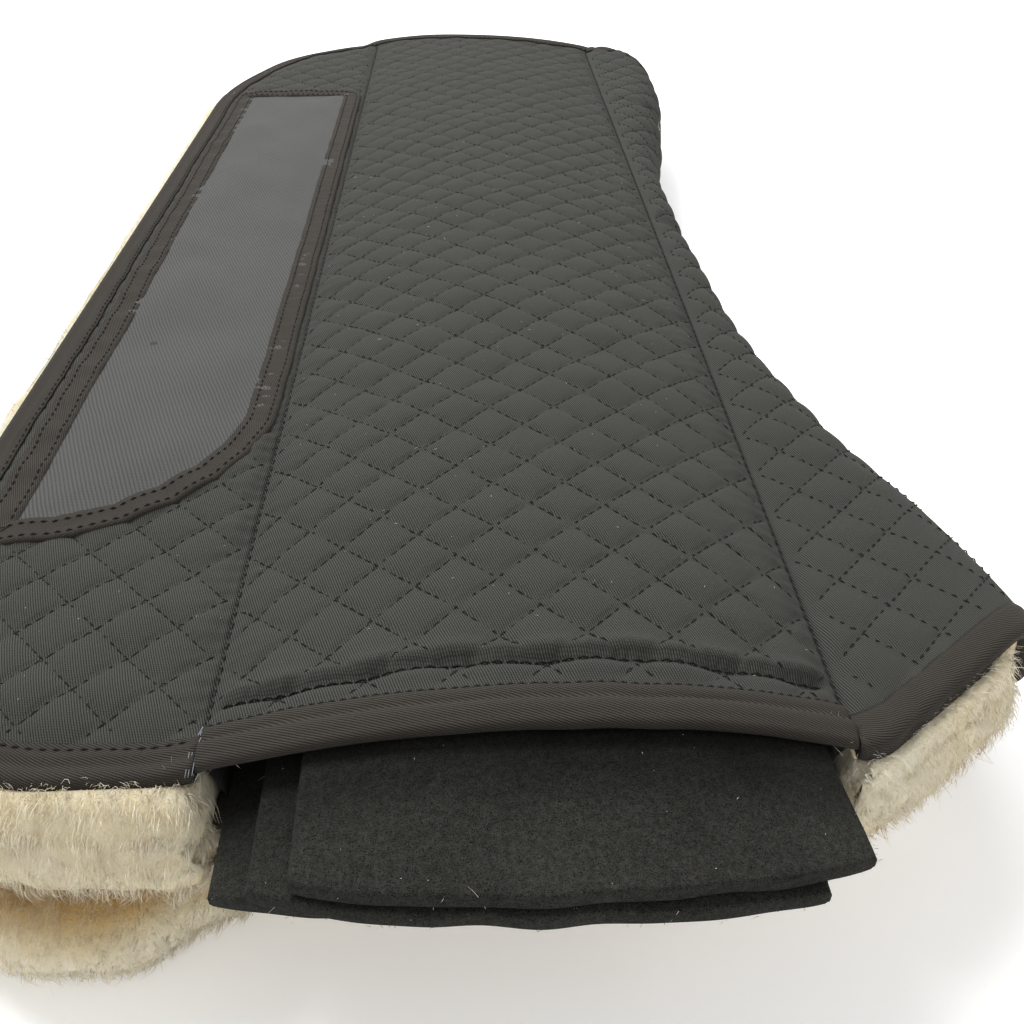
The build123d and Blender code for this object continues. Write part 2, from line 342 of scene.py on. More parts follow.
def sheet_grid(name, x_range, arched, step, inset=1.5, turned=False):
    """Cloth over a stretch of x, cut along the pad's edge."""
    i = np.arange(round(x_range[0] / step), round(x_range[1] / step) + 1)
    j = np.arange(0, math.ceil(690 / step))
    x, y = np.meshgrid(i * step, j * step)
    z = outer_face(x, y, arched)
    keep = edge_distance(CUT_FINE, x, y) > inset
    keep |= (np.abs(x) <= SEAM + 0.1) & (edge_distance(CUT_FINE, x, y) > -0.01) & (y < 60)
    if turned:
        z = TOP - z
        keep &= y > np.where(np.abs(x) > SEAM - 0.1, beside_shims(x) * (x < 0), LOWER_MOUTH)
    points = np.stack([x, y, z], -1).reshape(-1, 3)
    faces = along_quilting(quads(len(j), len(i), keep), points)
    if turned:
        faces = faces[:, ::-1]
    uv = np.stack([x, y], -1).reshape(-1, 2)
    points, faces, uv = drop_loose(points, faces, uv)
    return mesh_object(name, points, faces, uv)


def sweep(name, path, rings, closed_path=False):
    """Surface of a closed section carried along a path: rings holds the section's points at each step."""
    rows, columns = rings.shape[:2]
    across = run_along(rings[0])
    along = run_along(path[:, :2])
    uv = np.stack(np.meshgrid(across, along), -1).reshape(-1, 2)
    points = rings.reshape(-1, 3)
    faces = quads(rows, columns, wrap=True)
    if closed_path:
        last = (rows - 1) * columns
        c = np.arange(columns)
        n = (c + 1) % columns
        faces = np.concatenate([faces, np.stack([last + c, last + n, n, c], 1)])
        return mesh_object(name, points, faces, uv)
    ends = [tuple(range(columns))[::-1], tuple(range((rows - 1) * columns, rows * columns))]
    return mesh_object(name, points, [tuple(f) for f in faces.tolist()] + ends, uv)


def strand_mesh(name, spines, radius, values=None, sides=3, taper=None):
    """Thin closed strands along the spines, an array of strands by points.

    taper gives each point's share of the radius."""
    count, knots = spines.shape[:2]
    along = unit(np.gradient(spines, axis=1), 1e-9)
    side = unit(np.cross(along, [0.31, 0.52, 0.79]), 1e-9)
    other = np.cross(along, side)
    shares = np.linspace(1, 0.15, knots) if taper is None else np.asarray(taper)
    width = shares[None, :, None] * np.reshape(radius, (-1, 1, 1))
    turns = np.arange(sides) * 2 * math.pi / sides
    rounds = [spines + width * (side * math.cos(t) + other * math.sin(t)) for t in turns]
    points = np.stack(rounds, 2).reshape(-1, 3)
    k, e = np.meshgrid(np.arange(knots - 1), np.arange(sides), indexing="ij")
    n = (e + 1) % sides
    walls = np.stack([k * sides + e, k * sides + n, (k + 1) * sides + n, (k + 1) * sides + e], -1)
    walls = walls.reshape(-1, 4)
    base = (np.arange(count) * knots * sides)[:, None, None]
    faces = (walls[None] + base).reshape(-1, 4)
    caps = np.array([np.arange(sides)[::-1], (knots - 1) * sides + np.arange(sides)])
    caps = (caps[None] + base).reshape(-1, sides)
    everything = [tuple(f) for f in faces.tolist()] + [tuple(f) for f in caps.tolist()]
    data = {key: np.repeat(value, knots * sides) for key, value in (values or {}).items()}
    return mesh_object(name, points, everything, values=data)


# ---- materials ----
def material(name, slot_colour):
    """A new material with its principled shader."""
    mat = bpy.data.materials.new(name)
    mat.use_nodes = True
    shader = mat.node_tree.nodes["Principled BSDF"]
    shader.inputs["Base Color"].default_value = (*slot_colour, 1)
    shader.inputs["Roughness"].default_value = 0.9
    shader.inputs["Specular IOR Level"].default_value = 0.1
    return mat, mat.node_tree, shader


class Nodes:
    """Short forms for building a node tree."""

    def __init__(self, tree, shader):
        self.tree, self.shader = tree, shader
        self.coordinates = tree.nodes.new("ShaderNodeTexCoord")

    def link(self, value, socket):
        if isinstance(value, bpy.types.NodeSocket):
            self.tree.links.new(value, socket)
        else:
            socket.default_value = value

    def settings(self, values):
        for key, value in values.items():
            self.shader.inputs[key].default_value = value

    def math(self, operation, a, b=0.0, c=0.0):
        node = self.tree.nodes.new("ShaderNodeMath")
        node.operation = operation
        for value, socket in zip((a, b, c), node.inputs):
            self.link(value, socket)
        return node.outputs[0]

    def mapping(self, vector, angle=0.0, scale=(1, 1, 1)):
        node = self.tree.nodes.new("ShaderNodeMapping")
        node.inputs["Rotation"].default_value = (0, 0, angle)
        node.inputs["Scale"].default_value = scale
        self.link(vector, node.inputs["Vector"])
        return node.outputs[0]

    def noise(self, vector, size_mm, detail=2.0, rough=0.5):
        node = self.tree.nodes.new("ShaderNodeTexNoise")
        node.inputs["Scale"].default_value = 1 / (size_mm * MM)
        node.inputs["Detail"].default_value = detail
        node.inputs["Roughness"].default_value = rough
        self.link(vector, node.inputs["Vector"])
        return node.outputs["Fac"]

    def split(self, vector):
        node = self.tree.nodes.new("ShaderNodeSeparateXYZ")
        self.link(vector, node.inputs[0])
        return node.outputs[0], node.outputs[1]

    def ramp(self, factor, *stops):
        node = self.tree.nodes.new("ShaderNodeValToRGB")
        elements = node.color_ramp.elements
        while len(elements) < len(stops):
            elements.new(0.5)
        for element, (place, colour) in zip(elements, stops):
            element.position = place
            element.color = (*colour, 1)
        self.link(factor, node.inputs[0])
        return node.outputs[0]

    def mix(self, factor, a, b, blend="MIX"):
        node = self.tree.nodes.new("ShaderNodeMix")
        node.data_type = "RGBA"
        node.blend_type = blend
        for value, socket in ((factor, node.inputs[0]), (a, node.inputs[6]), (b, node.inputs[7])):
            self.link(value, socket)
        return node.outputs[2]

    def bump(self, height, distance_mm):
        """Roughens the shader's surface."""
        node = self.tree.nodes.new("ShaderNodeBump")
        node.inputs["Distance"].default_value = distance_mm * MM
        node.inputs["Strength"].default_value = 1.0
        self.link(height, node.inputs["Height"])
        self.link(node.outputs[0], self.shader.inputs["Normal"])

    def paint(self, colour, tone, brightest=2):
        """Base colour, darkened and lightened by a tone."""
        light = self.ramp(tone, (0, (0,) * 3), (1, (brightest,) * 3))
        self.link(self.mix(1.0, colour, light, "MULTIPLY"), self.shader.inputs["Base Color"])

    def attribute(self, name):
        node = self.tree.nodes.new("ShaderNodeAttribute")
        node.attribute_name = name
        return node.outputs["Fac"]


def woven(name, colour, angle, pitch, depth, contrast=0.35, yarn=0.55, fuzz=0.35):
    """Cloth with diagonal ribs: wales a pitch apart, broken into yarns along their length."""
    mat, tree, shader = material(name, colour)
    n = Nodes(tree, shader)
    place = n.coordinates.outputs["UV"]
    wander = n.noise(place, 14, 2)
    p, q = n.split(n.mapping(place, math.radians(angle), (1 / (pitch * MM),) * 3))
    p = n.math("ADD", p, n.math("MULTIPLY", wander, 0.7))
    wale = n.math("MULTIPLY_ADD", n.math("SINE", n.math("MULTIPLY", p, 2 * math.pi)), 0.5, 0.5)
    row = n.math("FLOOR", n.math("ADD", p, 0.25))
    phase = n.math("MULTIPLY_ADD", q, 2 * math.pi * pitch / (yarn * pitch * 2), n.math("MULTIPLY", row, 2.4))
    strand = n.math("MULTIPLY_ADD", n.math("SINE", phase), 0.5, 0.5)
    height = n.math("MULTIPLY", n.math("POWER", wale, 0.7), n.math("MULTIPLY_ADD", strand, 0.35, 0.65))
    patchy = n.noise(place, 38, 3, 0.6)
    grain = n.noise(place, 0.8, 2, 0.7)
    tone = n.math("MULTIPLY_ADD", height, 1.7 * contrast, 1 - contrast * 0.85)
    tone = n.math("MULTIPLY", tone, n.math("MULTIPLY_ADD", patchy, 0.4, 0.8))
    tone = n.math("MULTIPLY", tone, n.math("MULTIPLY_ADD", grain, 0.5, 0.75))
    n.paint((*colour, 1), tone)
    n.bump(n.math("MULTIPLY_ADD", grain, 0.3, height), depth)
    n.settings({"Sheen Weight": fuzz, "Sheen Roughness": 0.6, "Sheen Tint": (0.8, 0.8, 0.78, 1)})
    return mat


def felt_material():
    """Pressed felt: dark matted fibres with pale ones among them, lying in every direction, with painted
    shadow toward the pocket mouth.
    """
    mat, tree, shader = material("felt", (0.010, 0.010, 0.009))
    n = Nodes(tree, shader)
    place = n.coordinates.outputs["Object"]
    fine, clump, mottle = n.noise(place, 0.42, 3, 0.7), n.noise(place, 1.5, 3, 0.6), n.noise(place, 30, 2)
    off_middle = n.math("ABSOLUTE", n.math("MULTIPLY_ADD", fine, 2.0, -1.0))
    threads = n.math("POWER", n.math("SUBTRACT", 1.0, off_middle), 6.0)
    threads = n.math("MULTIPLY", threads, n.math("MULTIPLY_ADD", clump, 0.9, 0.1))
    shade = n.mix(threads, (0.0018, 0.0018, 0.0016, 1), (0.074, 0.074, 0.064, 1))
    tone = n.math("MULTIPLY_ADD", mottle, 0.5, 0.35)
    # painted shadow: the felt darkens toward the pocket mouth and inside it, where the arch's lip shades it
    tone = n.math("SUBTRACT", tone, n.math("MULTIPLY", n.attribute("painted_lip_shadow"), 0.30))
    n.paint(shade, tone)
    n.bump(n.math("MULTIPLY_ADD", clump, 0.5, fine), 0.5)
    n.settings({"Roughness": 1.0, "Specular IOR Level": 0.03, "Sheen Weight": 0.02})
    return mat


def wool_material(name, bump_mm):
    """Sheep's wool: cream with random tan tone, and a darker tan in the crease between the two halves that is
    painted shade.
    """
    mat, tree, shader = material(name, (0.78, 0.68, 0.5))
    n = Nodes(tree, shader)
    place = n.coordinates.outputs["Object"]
    streak = n.noise(n.mapping(place, scale=(1, 1, 0.22)), 1.1, 4, 0.7)
    curl = n.noise(place, 7, 3, 0.6)
    # painted shade: the tan attribute holds the darker tan along the crease where the two halves meet, plus
    # random tone; the curl noise adds more random tone
    tan = n.math("ADD", n.attribute("tan"), n.math("MULTIPLY_ADD", curl, 0.7, -0.35))
    colour = n.ramp(tan, (0.0, (0.61, 0.555, 0.42)), (0.45, (0.57, 0.48, 0.30)), (1.0, (0.47, 0.31, 0.12)))
    tone = n.math("MULTIPLY_ADD", streak, 0.7, 0.68)
    n.paint(colour, tone, 1.25)
    if bump_mm:
        n.bump(n.math("MULTIPLY_ADD", curl, 1.5, streak), bump_mm)
    n.settings({"Roughness": 0.85, "Sheen Weight": 0.5, "Sheen Roughness": 0.5,
                "Sheen Tint": (1, 0.95, 0.85, 1), "Subsurface Weight": 0.25, "Subsurface Radius": (0.004, 0.003, 0.002), "Subsurface Scale": 1.0})
    return mat


def plain_material(name, colour, size_mm, bump_mm, sheen=0.2):
    """Soft surface with a fine mottle."""
    mat, tree, shader = material(name, colour)
    n = Nodes(tree, shader)
    place = n.coordinates.outputs["Object"]
    grain, patchy = n.noise(place, size_mm, 4, 0.65), n.noise(place, 25, 2)
    tone = n.math("MULTIPLY_ADD", grain, 0.7, 0.65)
    tone = n.math("MULTIPLY", tone, n.math("MULTIPLY_ADD", patchy, 0.3, 0.85))
    n.paint((*colour, 1), tone, 1.3)
    n.bump(grain, bump_mm)
    n.settings({"Sheen Weight": sheen})
    return mat


TWILL = woven("twill", (0.031, 0.031, 0.0275), -20, 0.62, 0.22, contrast=1.0, fuzz=0.02)
RIBBED = woven("ribbed_patch", (0.040, 0.040, 0.0385), -22, 1.25, 0.22, contrast=0.45, fuzz=0.03)
BINDING = woven("binding_tape", (0.0245, 0.0215, 0.018), 20, 0.6, 0.2, contrast=0.9, fuzz=0.03)
FELT = felt_material()
WOOL = wool_material("wool", 1.2)
FIBRE = wool_material("wool_fibre", 0)
HIDE = plain_material("sheepskin_hide", (0.60, 0.48, 0.33), 1.6, 0.3)
WADDING = plain_material("wadding", (0.72, 0.71, 0.67), 2.5, 0.6)
LINING = woven("lining", (0.016, 0.016, 0.015), 0, 0.5, 0.08, fuzz=0.02)
THREAD = plain_material("thread", (0.017, 0.017, 0.016), 0.3, 0.05, sheen=0.02)
PALE_THREAD = plain_material("thread_end", (0.16, 0.17, 0.20), 0.4, 0.05)
LINT = plain_material("lint", (0.55, 0.52, 0.45), 0.5, 0.02)


def finish_piece(obj, mat, slot, body, *nodes):
    """Gives a piece its material and body, and hides the CAD nodes it stands for; slot is not used."""
    obj.data.materials.clear()
    obj.data.materials.append(mat)
    if body:
        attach(obj, body)
    if nodes:
        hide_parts(*nodes)
    return obj


# ---- quilted cover ----
def fold_section(y, count):
    """Points round the spine fold at y, from the upper spine seam over the bend to the lower one."""
    reach = min(26.0, spline_x(y) - SEAM - 1)
    flat = np.linspace(SEAM, spline_x(y) - reach, 12)
    t = np.linspace(0, math.pi / 2, 40)
    bend_x = spline_x(y) - reach + reach * np.sin(t) ** (2 / 2.5)
    bend_z = MID + (TOP - MID) * np.cos(t) ** (2 / 2.5)
    x = np.concatenate([flat[:-1], bend_x])
    z = np.concatenate([np.full(len(flat) - 1, TOP), bend_z])
    points = np.stack([np.concatenate([x, x[-2::-1]]), np.concatenate([z, TOP - z[-2::-1]])], 1)
    length = run_along(points)
    s = np.linspace(0, length[-1], count)
    return np.stack([np.interp(s, length, points[:, 0]), np.interp(s, length, points[:, 1])], 1), s


def far_edge_y(x):
    """Where the far cut edge crosses each x."""
    far = CUT_FINE[(CUT_FINE[:, 1] > 560) & (CUT_FINE[:, 0] > -80)]
    order = np.argsort(far[:, 0])
    return np.interp(x, far[order, 0], far[order, 1])


def near_edge_y(x):
    """Where the near cut edge crosses each x on the spine side."""
    near = CUT_FINE[(CUT_FINE[:, 1] < 120) & (CUT_FINE[:, 0] > SEAM - 3)]
    order = np.argsort(near[:, 0])
    return np.interp(x, near[order, 0], near[order, 1])


FOLD_PUCKERS = [(322, 3.2, 6.0), (520, 1.6, 6.0)]     # place along the pad, depth and half width


def fold_surface(columns, y_count, depth=0.0, quilted=True):
    """Grid round the fold, a depth inside the cover, with its cloth coordinates."""
    rows = []
    for v in np.linspace(0, 1, y_count):
        section, s = fold_section(v * FOLD_RUN, columns)
        near = near_edge_y(section[:, 0]) + 1.0 + LOWER_MOUTH * smooth(MID + 4, 8, section[:, 1])
        y = near + (far_edge_y(section[:, 0]) - 1.0 - near) * v
        tangent = unit(np.gradient(section, axis=0))
        normal = np.stack([-tangent[:, 1], tangent[:, 0]], 1)
        cloth = SEAM + s
        lift = -depth + np.zeros(columns)
        if quilted:
            ends = smooth(0, 12, y) * smooth(0, 12, y[-1] + 8 - y)
            z = quilting(cloth, y) + 0.9 * noise(cloth, y, size=45, seed=11)
            for d in (s, s[-1] - s):
                z = z * smooth(0, 5, d) - 2.0 * np.exp(-(d / 3.6) ** 2)
            z *= ends
            under = smooth(6, 16, section[:, 1])
            lift += z * (0.15 + 0.85 * under) - 0.6 * (1 - under)
            for place, dip, width in FOLD_PUCKERS:
                upper_side = smooth(14, 40, section[:, 1]) * smooth(0, 9, s)
                lift -= dip * np.exp(-((y - place) / width) ** 2) * upper_side
        moved = section + normal * lift[:, None]
        rows.append(np.stack([moved[:, 0], y, np.maximum(moved[:, 1], 0), cloth], 1))
    return np.array(rows)


def blend_fold(obj):
    """Bakes a piece's transform into its mesh."""
    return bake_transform(obj)


def fold_object(name, grid):
    """Mesh of a fold grid."""
    rows, columns = grid.shape[:2]
    return mesh_object(name, grid[..., :3], quads(rows, columns), grid[..., [3, 1]])


FOLD = fold_surface(110, 430)
flap_cover = thicken(sheet_grid("upper_flap_cover", (-176, -SEAM), True, STEP), 1.0)
finish_piece(flap_cover, TWILL, "twill", "upper_half", "upper_quilted_cover")
channel_cover = thicken(sheet_grid("upper_channel_cover", (-SEAM, SEAM), True, STEP, inset=1.5), 1.0)
finish_piece(channel_cover, TWILL, "twill", "upper_half")
lower_cover = thicken(sheet_grid("lower_cover", (-176, SEAM), False, 2 * STEP, turned=True), 1.0)
finish_piece(lower_cover, TWILL, "twill", "lower_half", "lower_quilted_cover")
fold_cover = finish_piece(thicken(fold_object("spine_fold_cover", FOLD), 1.0), TWILL, "twill", None)
blend_fold(fold_cover)


# ---- tapes ----
STITCH_RAILS = {}


def local_frame(path, closed_path):
    """Unit tangents and inward normals along a path that runs anticlockwise."""
    ahead = np.roll(path, -1, axis=0) - np.roll(path, 1, axis=0)
    if not closed_path:
        ahead[0], ahead[-1] = path[1] - path[0], path[-1] - path[-2]
    tangent = unit(ahead)
    return tangent, np.stack([-tangent[:, 1], tangent[:, 0]], 1)


def anticlockwise(path):
    """The closed outline, turned to run anticlockwise."""
    x, y = path[:, 0], path[:, 1]
    area = (x * np.roll(y, -1) - y * np.roll(x, -1)).sum()
    return path if area > 0 else path[::-1]


def edge_path():
    """The cut edge from the fold's near end round the flap to its far end, and the stretch by the mouth."""
    line = anticlockwise(CUT_FINE)
    first = np.argmin(np.hypot(line[:, 0] - 97, line[:, 1] - 647))
    line = np.roll(line, -first, axis=0)
    line = line[line[:, 0] < 98]
    corner = np.argmin(np.hypot(line[:, 0] + SEAM, line[:, 1]))
    far_left = line[:corner + 1]
    x = np.linspace(SEAM, 150, 60)
    near_right = np.stack([x, near_edge_y(x)], 1)
    near_right = near_right[near_right[:, 0] < spline_x(near_right[:, 1]) - 24]
    return far_left, near_right


def turned_over(rings, arched):
    """The lower half is the same shape turned over, and nothing of it goes below the floor."""
    if not arched:
        rings = rings.copy()
        rings[..., 2] = np.maximum(TOP - rings[..., 2], 0)
    return rings


def edge_tape(name, path, arched):
    """Tape folded round the cut edge: it lies on the cover, turns under the hide, and wavers a little."""
    _, inward = local_frame(path, False)
    top_in = np.linspace(EDGE_TAPE, 0, 8)
    turn = np.linspace(0, math.pi, 7)[1:-1]
    deep, thin = 4.2, 0.9
    wobble = 0.5 * noise(path[:, 0], path[:, 1], size=16, seed=21)
    places = np.concatenate([top_in, -1.3 * np.sin(turn), np.linspace(0, EDGE_TAPE, 5)])
    places = np.tile(places, (len(path), 1))
    places[:, :3] += wobble[:, None]
    base = path[:, None] + inward[:, None] * np.maximum(places[:, :8], 0.3)[..., None]
    face = outer_face(base[..., 0], base[..., 1], arched)
    edge = face[:, -1:]
    middle = edge - deep / 2
    z = np.concatenate([face + TAPE + 0.35 * np.sin(top_in * 1.4),
                        middle + (deep / 2 + TAPE) * np.cos(turn), np.repeat(edge - deep, 5, 1)], 1)
    inner_z = np.concatenate([z[:, :8] - thin, middle + (deep / 2 + TAPE - thin) * np.cos(turn),
                              z[:, 13:] + thin], 1)
    inner_places = places.copy()
    inner_places[:, 8:13] += thin
    sides = [np.concatenate([path[:, None] + inward[:, None] * p[..., None], h[..., None]], -1)
             for p, h in ((places, z), (inner_places, inner_z))]
    rings = turned_over(np.concatenate([sides[0], sides[1][:, ::-1]], 1), arched)
    STITCH_RAILS[name] = [rings[:, 1]]
    return sweep(name, path, rings)


def strip_on_face(name, path, half_width, rise, arched, steps=6):
    """Flat tape lying on the outer face along a closed path, its two edges turned down."""
    _, inward = local_frame(path, True)
    across = np.linspace(-half_width, half_width, steps)
    sides = np.concatenate([[-half_width - 0.4], across, [half_width + 0.4]])
    lift = np.concatenate([[-0.6], rise - 0.25 * np.cos(across / half_width * 1.5), [-0.6]])
    wobble = 0.35 * noise(path[:, 0], path[:, 1], size=19, seed=31)
    plan = path[:, None] + inward[:, None] * (sides + wobble[:, None])[..., None]
    face = outer_face(plan[..., 0], plan[..., 1], arched)
    z = 0.3 * face + 0.7 * np.median(face, axis=1)[:, None] + lift
    under = z[:, 1:-1][:, ::-1] - rise - 0.8
    top_side = np.concatenate([plan, z[..., None]], -1)
    low_side = np.concatenate([plan[:, 1:-1][:, ::-1], under[..., None]], -1)
    rings = turned_over(np.concatenate([top_side, low_side], 1), arched)
    STITCH_RAILS[name] = [rings[:, 2], rings[:, -3 - steps]]
    return sweep(name, path, rings, True)


def mouth_lip(x):
    """How far the mouth's edge stands forward at x: it bows out at the crown."""
    return 3.0 * (1 - (x / SEAM) ** 2) - 1.3


def mouth_tape(name):
    """Tape folded round the cover's edge at the pocket mouth, with a stitched step half way."""
    x = np.linspace(-SEAM + 0.5, SEAM - 0.5, 150)[:, None]
    back = np.array([MOUTH_TAPE, MOUTH_TAPE - 0.6, 8.0, 6.6, 5.8, 5.2, 4.4, 3.0, 1.4, 0.0])
    rise = np.array([0.0, 0.75, 0.95, 0.75, 0.35, 1.0, 1.75, 1.9, 1.6, 1.0])
    turn = np.linspace(0.2, math.pi, 8)
    roll = 1.6
    wobble = 0.35 * noise(x, 0, size=14, seed=41)
    base = TOP + arch(x, 0.0) + 0.25 * noise(x, 0, size=9, seed=42)
    y = np.concatenate([back + wobble * (back > 6), -roll * np.sin(turn) * 1.1 + 0 * x,
                        np.array([3.0, MOUTH_TAPE - 1]) + 0 * x], 1) - mouth_lip(x)
    z = np.concatenate([base + rise, base - roll + 0.6 + (roll + 0.4) * np.cos(turn),
                        base - 2 * roll + np.array([0.2, 0.4])], 1)
    inner_y = y[:, ::-1] + np.where(y[:, ::-1] < 0.5 - mouth_lip(x), 0.8, 0)
    inner_z = z[:, ::-1] + np.where(z[:, ::-1] > base - roll, -0.8, 0.8)
    ring_y, ring_z = np.concatenate([y, inner_y], 1), np.concatenate([z, inner_z], 1)
    rings = np.stack([x + 0 * ring_y, ring_y, ring_z], -1)
    STITCH_RAILS[name] = [rings[:, 0]]
    return sweep(name, np.concatenate([x, 0 * x], 1), rings)


def flat_mouth_tape(name, low, high, arched):
    """Tape round the edge under the pocket mouth, between two heights, bowed with the shims."""
    x = np.linspace(-SEAM + 1, SEAM - 1, 60)[:, None]
    y = np.array([8, 4, 1, -0.6, -1.0, -0.6, 1, 4, 8, 8, 4, 0.6, 0.0, 0.0, 0.6, 4, 8])
    y = y + (0 if arched else LOWER_MOUTH)
    t = np.array([1, 1, 1, 0.85, 0.5, 0.15, 0, 0, 0, 0.12, 0.12, 0.2, 0.35, 0.65, 0.8, 0.88, 0.88])
    bow = arch(x, 0.0) - CROWN if arched else 0 * x
    rings = np.stack([x + 0 * y, y + 0 * x, low + (high - low) * t + bow], -1)
    return sweep(name, np.concatenate([x, 0 * x], 1), turned_over(rings, arched))


for half, arched in (("upper", True), ("lower", False)):
    around, beside = edge_path()
    if not arched:
        around[:, 1] += beside_shims(around[:, 0]) * (around[:, 0] < 0) * smooth(60, 10, around[:, 1])
        beside[:, 1] += LOWER_MOUTH
    main = edge_tape(half + "_edge_binding", around, arched)
    finish_piece(main, BINDING, "tape", half + "_half", half + "_edge_binding")
    short = edge_tape(half + "_edge_binding_by_mouth", beside, arched)
    finish_piece(short, BINDING, "tape", half + "_half")
    ring = anticlockwise(resample(np.concatenate([PATCH_LINE, PATCH_LINE[:1]]), 2.0)[:-1])
    _, inward = local_frame(ring, True)
    tape = strip_on_face(half + "_patch_binding", ring + inward * 5.0, 5.2, 1.5, arched)
    finish_piece(tape, BINDING, "tape", half + "_half", half + "_patch_binding")


def fold_end_tape(name, near):
    """Tape round the cover's cut edge where the fold ends, wrapped over the edge."""
    rows = FOLD[:16] if near else FOLD[::-1][:16]
    edge = rows[0, :, :3]
    inward = unit(rows[8, :, :3] - edge)
    tangent = np.gradient(edge, axis=0)
    out = unit(np.cross(tangent, inward) if near else np.cross(inward, tangent))
    places = np.array([EDGE_TAPE, 7, 4, 1.5, 0, -1.6, -2.0, -1.6, 0, 4, 8, 8, 4, 0.5, 0.5, 4, 8])
    lifts = np.array([0.2, 0.9, 0.9, 0.9, 0.7, -0.4, -2.2, -4.0, -5.0, -5.2, -5.2, -4.4, -4.4, -3.5, -1.0,
                      -0.3, -0.3])
    rings = edge[:, None] + inward[:, None] * places[:, None] + out[:, None] * lifts[:, None]
    rings[..., 2] = np.clip(rings[..., 2], 0.0, None)
    along = run_along(edge)
    return sweep(name, np.stack([along, 0 * along], 1), rings if near else rings[::-1])


for end in ("near", "far"):
    blend_fold(finish_piece(fold_end_tape(f"spine_fold_{end}_binding", end == "near"), BINDING, "tape", None))

finish_piece(mouth_tape("upper_mouth_binding"), BINDING, "tape", "upper_half", "upper_mouth_binding")
for name, under, over in (("upper_floor_binding", 9.8, 5.6), ("lower_mouth_binding", 4.2, 0),
                          ("lower_floor_binding", 8.6, 4.4)):
    tape = flat_mouth_tape(name, TOP - under, TOP - over, name.startswith("upper"))
    finish_piece(tape, BINDING, "tape", name[:5] + "_half", name)


# ---- wear patches ----
def wear_patch(name, arched):
    """Ribbed cloth over the flap, a little slack inside its tape."""
    step = 2.0
    x, y = np.meshgrid(np.arange(-164, -74, step), np.arange(78, 554, step))
    inward = edge_distance(PATCH_LINE, x, y)
    slack = smooth(6, 26, inward) * (1.2 + 1.3 * noise(x, y, size=36, seed=51)
                                     + 0.9 * noise(x + 0.6 * y, 0.4 * y, size=15, seed=52))
    z = TOP - 1.0 - BORDER_FALL * (1 - smooth(0, BORDER, edge_distance(CUT, x, y)))
    z = z + 0.9 * noise(x, y, size=55, seed=1)
    z = z + slack + 0.3
    if not arched:
        z = np.maximum(TOP - z, 0.1)
    points, faces, uv = drop_loose(np.stack([x, y, z], -1).reshape(-1, 3), quads(*x.shape, inward > 2.0),
                                   np.stack([x, y], -1).reshape(-1, 2))
    return thicken(mesh_object(name, points, faces if arched else faces[:, ::-1], uv), 0.8)


for half, arched in (("upper", True), ("lower", False)):
    patch = wear_patch(half + "_wear_patch", arched)
    finish_piece(patch, RIBBED, "patch", half + "_half", half + "_wear_patch")


# ---- felt shims ----
def shim(level, name):
    """A felt insert bowed under the arch, drooping where it leaves the mouth, with softened edges."""
    x0, x1, corner = SHIMS[name]
    columns = np.linspace(-1, 1, 90)
    edge = np.sign(columns) * (1 - (1 - np.abs(columns)) ** 1.15)
    x = (x0 + x1) / 2 + (x1 - x0) / 2 * edge
    rows = np.concatenate([np.linspace(0, 3, 14), np.linspace(4, 62, 36),
                           np.linspace(70, SHIM_FAR_END - corner, 70)])
    side = np.clip((1 - np.abs(columns)) * (x1 - x0) / 2, 0, FELT_ROUND) / FELT_ROUND
    near_left, near_right = SHIM_FRONT[name]

    def face(sign):
        layer = []
        for r in rows:
            end = min(r, rows[-1] - r)
            front = near_left + (near_right - near_left) * (columns + 1) / 2 - SHIM_BOW * (1 - columns ** 2)
            front = front + 0.8 * noise(x, level * 40, size=12, seed=61)
            back_round = 1 - min(end, FELT_ROUND) / FELT_ROUND
            y = front + (SHIM_FAR_END - front) * (r / rows[-1])
            sag = 1 - 0.32 * smooth(2, -32, y)
            roof = arch(np.clip(x, -SEAM, SEAM), np.maximum(y, 0))
            lid = TOP + roof * sag - 4.6 - (2 - level) * SHIM_PITCH
            lid += 0.25 * noise(x, y, level, size=14, seed=62)
            soft = np.sqrt(np.clip(1 - (1 - side) ** 2, 0, 1)) * math.sqrt(max(0, 1 - back_round ** 2))
            half = SHIM / 2 * (0.5 + 0.5 * soft)
            flare = 2.6 * (level == 2) * smooth(2, -30, y) * smooth(-1, 1, columns)
            layer.append(np.stack([x + flare, y, lid - SHIM / 2 + sign * half], 1))
        return np.array(layer)

    top, bottom = face(1), face(-1)
    rings = np.concatenate([top, bottom[:, ::-1]], 1)
    count, columns_all = rings.shape[:2]
    faces = quads(count, columns_all, wrap=True)
    half = columns_all // 2
    caps = [np.stack([base + c, base + c + 1, base + columns_all - 2 - c, base + columns_all - 1 - c], 1)
            for base in (0, (count - 1) * columns_all) for c in [np.arange(half - 1)]]
    faces = np.concatenate([faces, caps[0][:, ::-1], caps[1]])
    uv = rings[..., :2].reshape(-1, 2)
    # painted shadow of the mouth's lip: none 25 mm in front of the mouth, full from 7 mm in front and inside
    # the pocket
    painted_lip_shadow = smooth(-25, -7, rings[..., 1])
    return mesh_object(name + "_felt", rings.reshape(-1, 3), faces[:, ::-1], uv, {"painted_lip_shadow": painted_lip_shadow})


SHIM_OBJECTS = {}
for level, name in enumerate(SHIMS):
    SHIM_OBJECTS[name] = finish_piece(shim(level, name), FELT, "felt", name, name)


# ---- layers inside ----
def inner_depth(x, y, depth, arched):
    """Height of a layer that lies a depth under the outer face, dipping below the shims in the channel."""
    z = TOP - depth - border_fall(x, y)
    if arched:
        dip = arch(x, y) - (3 * SHIM_PITCH + 4.9) * (1 - far_end(y))
        z = z + dip * smooth(SEAM, SEAM - 4, np.abs(x))
    return z


def far_end(y):
    """Rises from none to one where the layers close the pocket behind the shims."""
    return smooth(637, 649, y)


